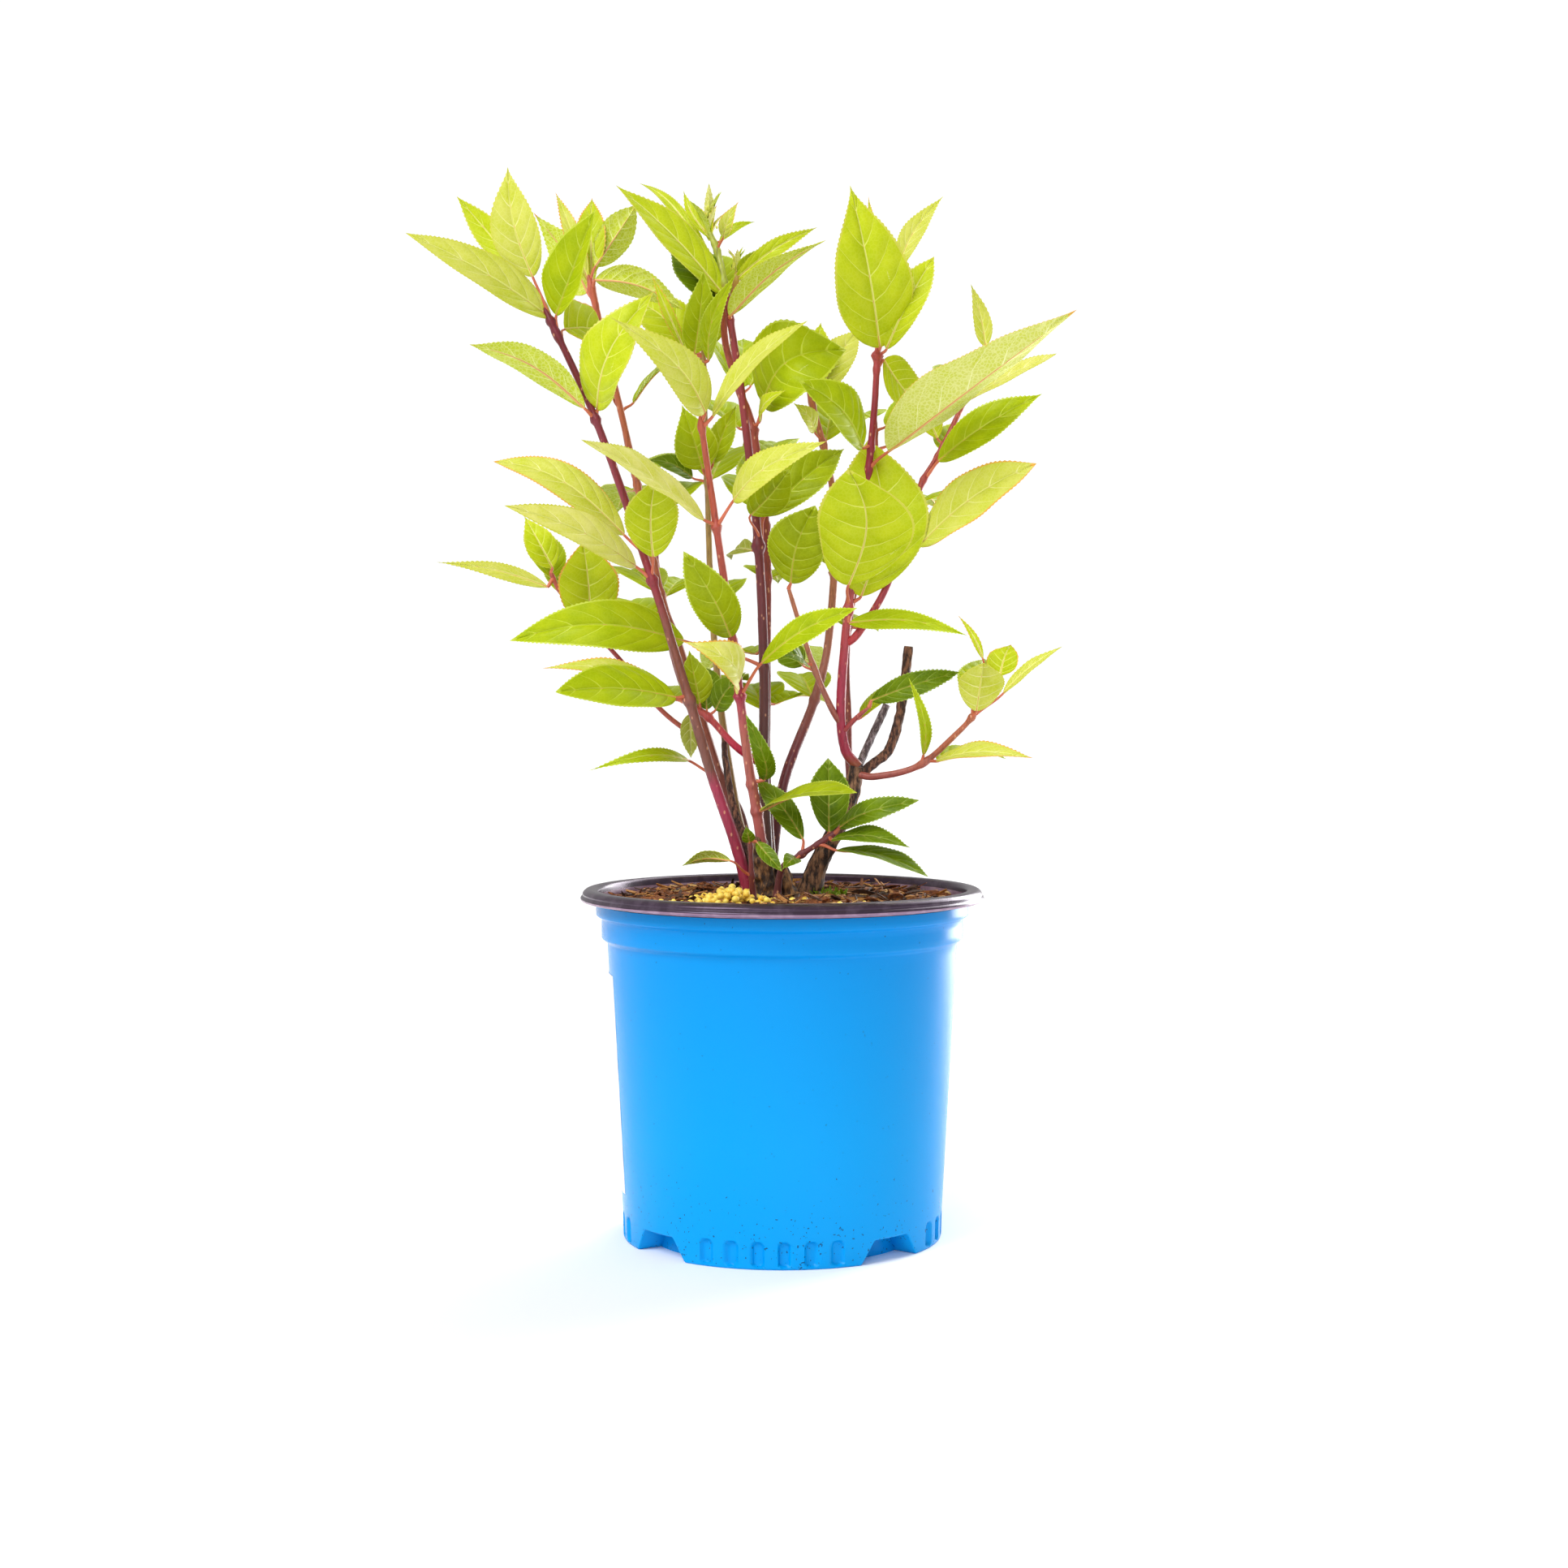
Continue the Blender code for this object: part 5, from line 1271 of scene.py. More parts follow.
    def surface(self, columns: Sequence[float], under: bool) -> Array:
        """Work out one face of the blade.

        Args:
            columns: Shares of the way from the midrib's edge to the margin.
            under: Whether it is the under side.

        Returns:
            Points by row and column, from the left margin over the midrib to the right margin.
        """
        shares, edges, teeth, swells = self.rows()
        half = self.outline(shares)
        foot = shares ** self.sweep
        rib = np.minimum(self.midrib_width * (1 - foot) ** 0.6 / half, 0.3)
        steps = [np.zeros_like(rib)] + [rib + (1 - rib) * column for column in columns]
        t = np.stack(steps, axis=1)
        gap = (self.vein_width / self.length / 2) * edges[:, None] * (1.15 - 0.8 * t)
        share = shares[:, None] + gap
        foot = share ** self.sweep
        along = foot + (share - foot) * (0.45 * t + 0.55 * t ** 2)
        out = half[:, None] * t
        bite = teeth[:, None] * (t > 0.999) * self.tooth_reach * min(1.0, self.length / 50)
        out = out + bite
        along = along + 0.6 * bite / self.length
        swell = swells[:, None] * np.sin(math.pi * np.clip(t, 0, 1)) ** 0.8 * self.half * self.quilting
        sunk = np.where(np.abs(edges)[:, None] == 1, self.vein_sink, 0.0) * (1 - t)
        sunk = sunk + np.where(t == 0, self.midrib_sink, 0.0)
        fold = math.tan(math.radians(self.leaf.fold))
        sides = []
        for hand, turn in ((-1, 0.0), (1, 1.7)):
            ripple = self.wave * half[:, None] * t ** 2 * np.sin(
                self.waves * math.tau * along + self.phase + turn)
            lift = out * fold - self.bow * half[:, None] * t ** 2 + swell + ripple
            if under:
                ridge = self.midrib_ridge * (1 - foot) * (t == 0)
                ridge = ridge + self.vein_ridge * (np.abs(edges)[:, None] == 1) * (1 - t)
                lift = lift - self.thickness * (1 - 0.45 * t) - ridge
            else:
                lift = lift - sunk
            sides.append(self.place(np.clip(along, 0, 1), hand * out, lift))
        left, right = sides
        return np.concatenate([left[:, :0:-1], right], axis=1)

    def add_to(self, draft: Draft) -> None:
        """Add the blade to a piece.

        Args:
            draft: The piece.
        """
        upper, lower, vein_above, vein_below = SKINS[self.leaf.tone]
        # Pale, gold and bright tones: partly young leaves, partly painted light on leaves in the light
        light_toned = self.leaf.tone in (Tone.PALE, Tone.GOLD, Tone.BRIGHT)
        margin, midrib = (MARGIN_GOLD if self.draw.random() < self.gold_margins else MARGIN), MIDRIB
        if not light_toned:
            margin = midrib = vein_above
        edges = self.rows()[1]
        top = self.surface(self.upper_columns, False)
        bottom = self.surface(self.under_columns, True)
        rows, wide, narrow = len(edges), top.shape[1], bottom.shape[1]
        ends = np.array([self.base, self.base - self.normal * 0.3, self.tip])
        points = np.vstack([top.reshape(-1, 3), bottom.reshape(-1, 3), ends])
        start = rows * wide
        base_top, base_bottom, tip = rows * (wide + narrow) + np.arange(3)
        faces, finishes = [], []
        for row in range(rows - 1):
            vein = edges[row] == -1 and edges[row + 1] == 1
            for step in range(wide - 1):
                a = row * wide + step
                faces.append((a, a + 1, a + wide + 1, a + wide))
                reach = min(step, wide - 2 - step)
                finishes.append(margin if reach == 0 else midrib if reach == wide // 2 - 1
                                else vein_above if vein else upper)
            for step in range(narrow - 1):
                a = start + row * narrow + step
                faces.append((a, a + narrow, a + narrow + 1, a + 1))
                reach = min(step, narrow - 2 - step)
                finishes.append(midrib if reach == narrow // 2 - 1 else vein_below if vein else lower)
            for a, b, flip in ((row * wide, start + row * narrow, False),
                               (row * wide + wide - 1, start + row * narrow + narrow - 1, True)):
                rim = (a, a + wide, b + narrow, b)
                faces.append(rim[::-1] if flip else rim)
                finishes.append(margin)
        for step in range(wide - 1):
            faces += [(base_top, step + 1, step), (tip, start - wide + step, start - wide + step + 1)]
            finishes += [upper, margin]
        last = start + (rows - 1) * narrow
        for step in range(narrow - 1):
            faces += [(base_bottom, start + step, start + step + 1), (tip, last + step + 1, last + step)]
            finishes += [lower, margin]
        faces += [(base_top, 0, start, base_bottom), (base_bottom, start + narrow - 1, wide - 1, base_top),
                  (start - wide, tip, last), (start - 1, last + narrow - 1, tip)]
        finishes += [margin] * 4
        draft.add(points, faces, finishes)

    def stoutness(self) -> float:
        """Return how stout the stalk and midrib are, as a share of those of a full-grown leaf."""
        return min(1.0, 0.55 + self.length / 160)

    def stalk(self, stem: Array) -> tuple[Array, Array]:
        """Curve the stalk from the middle of its stem to the blade's base.

        Args:
            stem: Direction in which the stem grows.

        Returns:
            Points along the stalk and its radii.
        """
        start = self.place(np.array([0.0, 0.02]), np.zeros(2), np.zeros(2))
        into = unit(start[1] - start[0])
        reach = self.leaf.stalk
        control = (self.root, self.root + unit(0.5 * stem + self.axis) * reach * 0.45,
                   self.base - into * reach * 0.35, self.base - self.normal * 0.25)
        t = np.linspace(0, 1, max(6, round(reach / 2)))[:, None]
        path = (control[0] * (1 - t) ** 3 + 3 * control[1] * t * (1 - t) ** 2
                + 3 * control[2] * t ** 2 * (1 - t) + control[3] * t ** 3)
        t = t[:, 0]
        return path, self.stoutness() * (0.95 + 0.55 * np.exp(-t * reach / 3.0) - 0.2 * t)

    def rib(self) -> tuple[Array, Array]:
        """Lay the raised midrib under the blade.

        Returns:
            Points along the midrib and its radii.
        """
        share = np.linspace(0, 0.86, 14)
        radii = self.stoutness() * 0.7 * (1 - share) ** 0.9
        path = self.place(share, np.zeros_like(share), -0.3 - radii * 0.6)
        path[0] = self.base - self.normal * 0.25
        return path, radii


def face_normal(axis: Array, face: float, roll: float = 0) -> Array:
    """Find the way that a leaf's upper side looks.

    Args:
        axis: Direction of the leaf.
        face: Angle of the upper side: 0 looks up, 90 to the front, 180 down and -90 to the back.
        roll: Further turn about the leaf's own axis, in degrees.

    Returns:
        The direction.
    """
    turn, roll = math.radians(face), math.radians(roll)
    wanted = np.array((0.0, -math.sin(turn), math.cos(turn)))
    normal = unit(wanted - axis * (wanted @ axis))
    return normal * math.cos(roll) + np.cross(axis, normal) * math.sin(roll)


def blade_on(route: Route, leaf: Leaf, seed: int) -> Blade:
    """Set a leaf on its stem.

    Args:
        route: Way of the stem.
        leaf: The leaf.
        seed: Seed for the random part of its shape.

    Returns:
        The blade, rooted in the middle of the stem.
    """
    root = route.point(route.find(leaf.at))
    face = 0.0
    if isinstance(leaf, Seen):
        tip = seen(leaf.across, leaf.height, leaf.depth)
        face = leaf.face
    else:
        outward = heading_axis(math.radians(leaf.heading), math.radians(leaf.rise))
        tip = root + outward * (leaf.stalk + leaf.length)
    return Blade(root, tip, face_normal(unit(tip - root), face, leaf.roll), leaf, seed)


@dataclass
class Shoot:
    """One shoot: its cane from the soil or its parent stem to its tip, with stalks, leaves and buds."""

    plan: ShootPlan
    seed: int
    sides: int = 14
    ring_pitch: float = 1.5
    node_swell: float = 0.3
    node_length: float = 2.0
    flare: float = 1.3
    flare_height: float = 5.0
    tip_taper: tuple[float, ...] = (0.9, 0.7, 0.35)
    ribs: float = 0.06
    dents: float = 0.04
    bracts: int = 9
    bract_turn: float = 2.4
    beads: int = 34
    shaded_beads: float = 0.3

    def cane(self) -> None:
        """Build the cane with a swollen ring at each pair of leaves, and ribs and dents along it."""
        route = Route(self.plan.route)
        places, path = route.trace(self.ring_pitch)
        if not self.plan.parent:
            path[0][2] = min(path[0][2], SOIL_LEVEL - 1)
        run = distances(path)
        foot, top = self.plan.girth
        radii = foot + (top - foot) * places / route.last
        for height in {leaf.at for leaf in self.plan.leaves}:
            middle = np.interp(route.find(height), places, run)
            radii = radii * (1 + self.node_swell * np.exp(-((run - middle) / self.node_length) ** 2))
        if not self.plan.parent:
            radii = radii + self.flare * np.exp(-run / self.flare_height)
        radii[-len(self.tip_taper):] *= self.tip_taper
        turn = np.arange(self.sides) * math.tau / self.sides
        relief = np.empty((len(path), self.sides))
        for number, (ring, radius) in enumerate(zip(run, radii)):
            for side, angle in enumerate(turn):
                spot = Vector((math.cos(angle) * 1.6 + self.seed, math.sin(angle) * 1.6, ring * 0.09))
                fine = Vector((math.cos(angle) * 3 + self.seed, math.sin(angle) * 3, ring * 0.4))
                uneven = self.ribs * noise.noise(spot) + self.dents * noise.noise(fine)
                relief[number, side] = radius * uneven
        bark = CaneBark(f"cane_bark_{self.plan.name}", self.plan.bark)
        draft = Draft()
        draft.add(*tube(path, radii, self.sides, relief), bark)
        draft.piece(f"cane_{self.plan.name}_bark", "cane_bark", [f"cane_{self.plan.name}"])

    def foliage(self) -> None:
        """Build the stalks and the leaves."""
        route = Route(self.plan.route)
        stalks, leaves = Draft(), Draft()
        for number, leaf in enumerate(self.plan.leaves):
            blade = blade_on(route, leaf, 100 * self.seed + number)
            stem = route.axis(route.find(leaf.at))
            stalks.add(*tube(*blade.stalk(stem), 9), STALK)
            blade.add_to(leaves)
            leaves.add(*tube(*blade.rib(), 6), STALK_PALE)
        nodes = [f"foliage_{self.plan.name}"]
        stalks.piece(f"stalks_{self.plan.name}", "leaf", nodes)
        leaves.piece(f"leaves_{self.plan.name}", "leaf", nodes)

    def flower_buds(self) -> None:
        """Build each cluster of flower buds: pointed bracts that stand round a tuft of tiny buds."""
        for number, bud in enumerate(self.plan.buds):
            draw = random.Random(self.seed + number)
            foot = seen(bud.across, bud.height - bud.length / 2, bud.depth)
            draft = Draft()
            for turn in range(self.bracts):
                axis = heading_axis(turn * self.bract_turn + 0.5, math.radians(draw.uniform(48, 82)))
                start = foot + np.array((0, 0, bud.length * draw.uniform(0, 0.25)))
                tip = start + axis * bud.length * draw.uniform(0.7, 1.15)
                tone = draw.choice((Tone.GOLD, Tone.BRIGHT, Tone.MID))
                width = bud.width * draw.uniform(0.22, 0.34)
                leaf = Turned(0, 0, 0, 0, width, stalk=0.4, tip=1.2, tone=tone, fold=28)
                Blade(start, tip, face_normal(axis, 0), leaf, self.seed + turn, veins=3, thickness=0.25,
                      vein_width=0.2, midrib_width=0.25).add_to(draft)
            for _ in range(self.beads):
                up = draw.uniform(0.25, 1.0)
                reach = bud.width * 0.42 * math.sin(math.pi * min(up + 0.1, 0.95)) * draw.uniform(0.1, 0.9)
                angle = draw.uniform(0, math.tau)
                spot = foot + np.array((math.cos(angle) * reach, math.sin(angle) * reach, up * bud.length))
                shape = bead(spot, draw.uniform(0.5, 1.0), 7, 6, 1.5)
                draft.add(*shape, BUD_GREEN if draw.random() < 1 - self.shaded_beads else BUD_DARK)
            draft.piece(f"buds_{self.plan.name}_{number}", "leaf", [f"foliage_{self.plan.name}"])

    def build(self) -> None:
        """Build every part of the shoot."""
        self.cane()
        self.foliage()
        self.flower_buds()


def bead(centre: Array, radius: float, around: int, layers: int, squash: float = 1.0) -> tuple[Array, list]:
    """Build a small round bead.

    Args:
        centre: Its middle.
        radius: Its radius.
        around: Points in each ring.
        layers: Rings and poles, less one.
        squash: Height as a share of the width.

    Returns:
        Vertices and faces.
    """
    lift = np.linspace(-math.pi / 2, math.pi / 2, layers + 1)[1:-1]
    turn = np.arange(around) * math.tau / around
    rings = np.stack([np.outer(np.cos(lift), np.cos(turn)), np.outer(np.cos(lift), np.sin(turn)),
                      np.outer(np.sin(lift), np.ones(around)) * squash], axis=-1).reshape(-1, 3)
    count = len(rings)
    points = centre + radius * np.vstack([rings, (0, 0, -squash), (0, 0, squash)])
    faces: list = grid_faces(layers - 1, around, True)
    for side in range(around):
        after = (side + 1) % around
        faces += [(count, after, side), (count + 1, count - around + side, count - around + after)]
    return points, faces


@dataclass
class Trunk:
    """Old trunk with a flared foot and two stubs, the thin snag, and the crown that the canes grow from."""

    route: Marks = ((14, 184, 0), (18.5, 198, -1), (27, 215.5, -2), (36, 233, -4), (41, 254.5, -6))
    girth: Girth = (5.8, 4.1)
    flare: float = 2.6
    flare_height: float = 6.0
    stubs: tuple[tuple[Marks, Girth, RoughBark], ...] = (
        (((38, 247, -5), (50, 256, -2), (58, 263, 0), (62.5, 276, 1), (66.5, 297, 1), (69, 320, 1)),
         (2.7, 2.5), STUB_BARK),
        (((40, 252, -6), (45, 262, 3), (50, 273, 7), (57, 288, 10)), (2.2, 1.9), DEAD_BARK),
    )
    snag: Marks = ((-11.5, 184, -13), (-17.3, 207.5, -12), (-26, 230, -9), (-31, 257, -4), (-31.5, 271, -2))
    snag_girth: Girth = (2.6, 1.6)
    crown: tuple[tuple[Marks, Girth], ...] = (
        (((-9, 184, -27), (-10.5, 200, -27), (-13, 216, -26)), (7.4, 4.2)),
        (((3, 184, -20), (1, 191, -20), (-2, 199, -19)), (6.2, 4.0)),
        (((-15, 184, -6), (-17, 200, -7), (-20, 214, -9)), (4.4, 2.8)),
    )
    ring_pitch: float = 0.9
    ridges: float = 1.4
    knots: float = 0.9

    def limb(self, draft: Draft, marks: Marks, girth: Girth, finish: Finish, sides: int, rough: float,
             flare: tuple[float, float] = (0.0, 1.0), cut: bool = False) -> None:
        """Add one rough woody limb.

        Args:
            draft: The piece.
            marks: Its route's marks.
            girth: Radius at its foot and tip.
            finish: Its bark.
            sides: Points in each ring.
            rough: Depth of the bark's relief, as a share of the radius.
            flare: Extra radius at the foot and the height over which it fades.
            cut: Whether the tip is a sawn face of bare wood.
        """
        route = Route(marks)
        places, path = route.trace(self.ring_pitch)
        run = distances(path)
        radii = girth[0] + (girth[1] - girth[0]) * places / route.last + flare[0] * np.exp(-run / flare[1])
        relief = np.empty((len(path), sides))
        for number, (ring, radius) in enumerate(zip(run, radii)):
            for side in range(sides):
                x, y = math.cos(side * math.tau / sides), math.sin(side * math.tau / sides)
                ridge = noise.noise(Vector((x * 2.4, y * 2.4, ring * 0.08 + marks[0][0])))
                knot = noise.noise(Vector((x, y + marks[0][1], ring * 0.3)))
                relief[number, side] = radius * rough * (self.ridges * ridge + self.knots * knot)
        points, faces = tube(path, radii, sides, relief)
        finishes: list[Finish] = [finish] * len(faces)
        if cut:
            for number in range(len(faces) - 2 * sides + 1, len(faces), 2):
                finishes[number] = CUT_WOOD
        draft.add(points, faces, finishes)

    def build(self) -> None:
        """Build the trunk with its stubs, then the dead snag with the crown beside it."""
        draft = Draft()
        self.limb(draft, self.route, self.girth, OLD_BARK, 36, 0.12, (self.flare, self.flare_height))
        for marks, girth, bark in self.stubs:
            self.limb(draft, marks, girth, bark, 20, 0.18, cut=True)
        draft.piece("trunk_bark", "old_bark", ["trunk_right"])
        snag = Draft()
        self.limb(snag, self.snag, self.snag_girth, STUB_BARK, 16, 0.16)
        for marks, girth in self.crown:
            self.limb(snag, marks, girth, CROWN_BARK, 22, 0.3)
        snag.piece("snag_bark", "cane_bark", ["snag_left"])


@dataclass
class Pot:
    """Blue moulded pot on four feet, with notches between the feet and flutes along them."""

    columns: int = 480
    wall: float = 1.6
    floor: float = 2.4
    base_radius: float = 86.6
    base_top_radius: float = 87.1
    base_height: float = 15.4
    base_step: float = 1.4
    edge_round: float = 0.7
    base_ring_inner: float = 69.0
    shoulder_radius: float = 95.4
    shoulder_height: float = 159.4
    band_radius: float = 98.5
    band_height: float = 172.2
    neck_radius: float = 101.5
    neck_foot: float = 174.6
    neck_height: float = 180.4
    foot_turn: float = -3.75
    feet: int = 4
    notch_height: float = 12.0
    notch_top: float = 23.4
    notch_foot: float = 39.3
    notch_depth: float = 14.0
    flutes: int = 6
    flute_pitch: float = 9.2
    flute_radius: float = 3.4
    flute_height: float = 14.5
    flute_foot: float = 1.4
    flute_bite: float = 2.2

    def wall_radius(self, height: float) -> float:
        """Work out the outer radius of the plain wall.

        Args:
            height: Height above the floor.

        Returns:
            The radius.
        """
        foot = self.base_height + self.base_step
        share = (height - foot) / (self.shoulder_height - foot)
        return self.base_top_radius + (self.shoulder_radius - self.base_top_radius) * share

    def turn_from_foot(self, angle: float) -> float:
        """Return the angle from the nearest foot's middle, in degrees."""
        pitch = 360 / self.feet
        return (angle + 90 - self.foot_turn + pitch / 2) % pitch - pitch / 2

    def notch_lift(self, angle: float) -> float:
        """Work out how high the lower edge of the wall lies.

        Args:
            angle: Angle round the pot, in degrees.

        Returns:
            Height of the edge.
        """
        off = 180 / self.feet - abs(self.turn_from_foot(angle))
        wide = math.degrees(self.notch_foot / 2 / self.base_radius)
        slim = math.degrees(self.notch_top / 2 / self.base_radius)
        return self.notch_height * min(1.0, max(0.0, (wide - off) / (wide - slim)))

    def flute_dent(self, angle: float, height: float) -> float:
        """Work out how deep a flute dents the foot.

        Args:
            angle: Angle round the pot, in degrees.
            height: Height above the floor.

        Returns:
            Depth of the dent.
        """
        turn = self.turn_from_foot(angle)
        nearest = round(turn / self.flute_pitch - 0.5) + 0.5
        if abs(nearest) > self.flutes / 2:
            return 0.0
        off = math.radians(turn - nearest * self.flute_pitch) * self.base_radius
        above = height - (self.flute_height - self.flute_radius)
        below = self.flute_foot + self.flute_radius / 2 - height
        reach = math.hypot(off, max(0.0, above, 2 * below)) / self.flute_radius
        return self.flute_bite * min(1.0, 2.2 * (1 - reach ** 2)) if reach < 1 else 0.0

    def profile(self) -> list[tuple[float, float]]:
        """Draw the outside above the fluted foot.

        Returns:
            Radius and height, from the neck down.
        """
        neck, band, shoulder = self.neck_radius, self.band_radius, self.shoulder_radius
        points = [(neck, self.neck_height), (neck, self.neck_foot + 2)]
        points += [(band + (neck - band) * (0.5 + 0.5 * math.cos(math.pi * t)),
                    self.neck_foot - (self.neck_foot - self.band_height) * t)
                   for t in np.linspace(0, 1, 7)]
        points += [(band, self.band_height - 3), (band, self.shoulder_height + 6)]
        points += [(shoulder + (band - shoulder) * (0.5 + 0.5 * math.cos(math.pi * t)),
                    self.shoulder_height + 3.0 - 3.4 * t) for t in np.linspace(0, 1, 8)]
        points += [(self.wall_radius(height), height) for height in (155, 140, 120, 95, 70, 48, 32, 24)]
        return points

    def build(self) -> None:
        """Build the pot's shell as one closed grid of points."""
        upper = self.profile()
        low_heights = [20.0, 17.5, 16.0] + list(np.arange(15.2, 0.6, -0.7)) + [0.35, 0.0]
        lower_top = upper[-1][1]
        inner = [
            (self.base_ring_inner, self.floor), (self.base_ring_inner, self.base_height),
            (self.base_top_radius - self.wall, self.base_height),
            (self.shoulder_radius - self.wall, self.shoulder_height),
            (self.band_radius - self.wall, self.shoulder_height + 2.5),
            (self.band_radius - self.wall, self.band_height),
            (self.neck_radius - self.wall, self.neck_height),
        ]
        rings = []
        for step in range(self.columns):
            angle = step * 360 / self.columns
            lift = self.notch_lift(angle)
            column = list(inner) + list(upper)
            for height in low_heights:
                raised = lift + (lower_top - lift) * height / lower_top
                radius = self.wall_radius(max(raised, self.base_height))
                radius -= (self.base_top_radius - self.base_radius) * max(0.0, 1 - raised / self.base_height)
                radius -= self.flute_dent(angle, raised)
                radius -= self.edge_round * (1 - min(1.0, (raised - lift) / self.edge_round)) ** 2
                column.append((radius, raised))
            back = self.base_radius - self.notch_depth
            column += [(back, lift), (back, 0.0 if lift > 0 else -0.001)]
            turn = math.radians(angle)
            rings.append([(r * math.cos(turn), r * math.sin(turn), z) for r, z in column])
        count = len(rings[0])
        points = np.array(rings).reshape(-1, 3)
        points[:, 2] = np.maximum(points[:, 2], 0.0)
        faces: list = []
        for step in range(self.columns):
            after = (step + 1) % self.columns
            for row in range(count - 1):
                faces.append((step * count + row, step * count + row + 1,
                              after * count + row + 1, after * count + row))
        total = len(points)
        points = np.vstack([points, (0, 0, self.floor), (0, 0, 0)])
        for step in range(self.columns):
            after = (step + 1) % self.columns
            faces.append((total, step * count, after * count))
            faces.append((total + 1, after * count + count - 1, step * count + count - 1))
        draft = Draft()
        draft.add(points, faces, BluePolypropylene("blue_polypropylene"))
        draft.piece("pot_shell", "pot_blue", ["pot_body"], sharp=50)


@dataclass
class Rim:
    """Dark rolled rim that turns over from the pot's inner wall into a hanging lip."""

    columns: int = 240
    neck_radius: float = 101.5
    neck_height: float = 180.4
    top: float = 188.4
    lip_radius: float = 110.0
    lip_bottom: float = 182.0
    # Height of the painted highlight along the lip's lower edge
    highlight_edge: float = 1.5
    wall: float = 1.6

    def section(self) -> Array:
        """Draw the closed section of the rim, smoothed through its marks.

        Returns:
            Radius and height of each point.
        """
        foot, top, lip = self.neck_height + 0.3, self.top, self.lip_radius
        low, neck = self.lip_bottom, self.neck_radius
        marks = np.array([
            (neck - self.wall, foot), (neck - 1.2, top - 3), (neck - 0.6, top - 0.9), (neck + 1.2, top),
            (neck + 4.2, top - 0.1), (lip - 2.4, top - 0.9), (lip - 1.2, top - 2.3), (lip - 1.2, low + 3.0),
            (lip - 0.4, low + 2.2), (lip, low + 1.3), (lip - 0.3, low + 0.4), (lip - 1.0, low),
            (lip - 1.9, low + 0.5), (lip - 3.0, top - 3.2), (lip - 5.0, top - 1.6), (neck + 1.9, top - 1.9),
            (neck, foot),
        ])
        last = len(marks) - 1
        points = []
        for index in range(last):
            near = [marks[(index + shift) % len(marks)] for shift in (-1, 0, 1, 2)]
            points += [between(near, share) for share in (0, 0.25, 0.5, 0.75)]
        return np.array([*points, marks[last]])

    def build(self) -> None:
        """Turn the section round the pot's middle."""
        section = self.section()
        section[:, 1] = np.clip(section[:, 1], self.neck_height + 0.3, self.top)
        section[:, 0] = np.minimum(section[:, 0], self.lip_radius)
        turn = np.arange(self.columns) * math.tau / self.columns
        points = np.stack([np.outer(np.cos(turn), section[:, 0]), np.outer(np.sin(turn), section[:, 0]),
                           np.tile(section[:, 1], (self.columns, 1))], axis=-1).reshape(-1, 3)
        count = len(section)
        faces = [(step * count + row, ((step + 1) % self.columns) * count + row,
                  ((step + 1) % self.columns) * count + (row + 1) % count, step * count + (row + 1) % count)
                 for step in range(self.columns) for row in range(count)]
        satin = DarkPolypropylene("dark_polypropylene")
        # Paler finish on the lip's lower edge: painted highlight where the edge catches the light
        wear_and_highlight = DarkPolypropylene("dark_polypropylene_lit_edge", "8C7086", "D8BCCC")
        lip = [row for row in range(count) if section[row, 1] < self.lip_bottom + self.highlight_edge]
        finishes = [wear_and_highlight if row in lip else satin for _ in range(self.columns) for row in range(count)]
        draft = Draft()
        draft.add(points, faces, finishes)
        draft.piece("pot_rim_roll", "pot_black", ["pot_rim"], sharp=50)


@dataclass
class Label:
    """Blank paper label on the left side of the pot's wall."""

    pot: Pot
    foot: float = 26.0
    top: float = 143.0
    start: float = 126.0
    end: float = 196.5
    lift: float = 0.08
    thickness: float = 0.25
    columns: int = 48
    rows: int = 12
    uneven: float = 0.35
    seed: int = 7

    def build(self) -> None:
        """Wrap the label on the wall."""
        draw = random.Random(self.seed)
        shells = []
        for lift in (self.lift, self.lift + self.thickness):
            for row in range(self.rows + 1):
                height = self.foot + (self.top - self.foot) * row / self.rows
                for step in range(self.columns + 1):
                    turn = math.radians(self.start + (self.end - self.start) * step / self.columns)
                    radius = self.pot.wall_radius(height) + lift
                    shells.append((radius * math.cos(turn), radius * math.sin(turn), height))
        points = np.array(shells)
        wide = self.columns + 1
        layer = wide * (self.rows + 1)
        for row in range(self.rows + 1):
            shift = draw.uniform(-self.uneven, self.uneven)
            for base in (0, layer):
                points[base + row * wide + self.columns][1] -= shift
        inner = [face[::-1] for face in grid_faces(self.rows + 1, wide)]
        outer = [tuple(v + layer for v in face) for face in grid_faces(self.rows + 1, wide)]
        edge = ([row * wide for row in range(self.rows + 1)]
                + [self.rows * wide + step for step in range(1, wide)]
                + [row * wide + self.columns for row in range(self.rows - 1, -1, -1)]
                + list(range(self.columns - 1, 0, -1)))
        rim = [(a, b, b + layer, a + layer) for a, b in zip(edge, edge[1:] + edge[:1])]
        draft = Draft()
        draft.add(points, inner + outer + rim, CoatedPaper("coated_paper_label"))
        draft.piece("label_sheet", "label_white", ["label"])


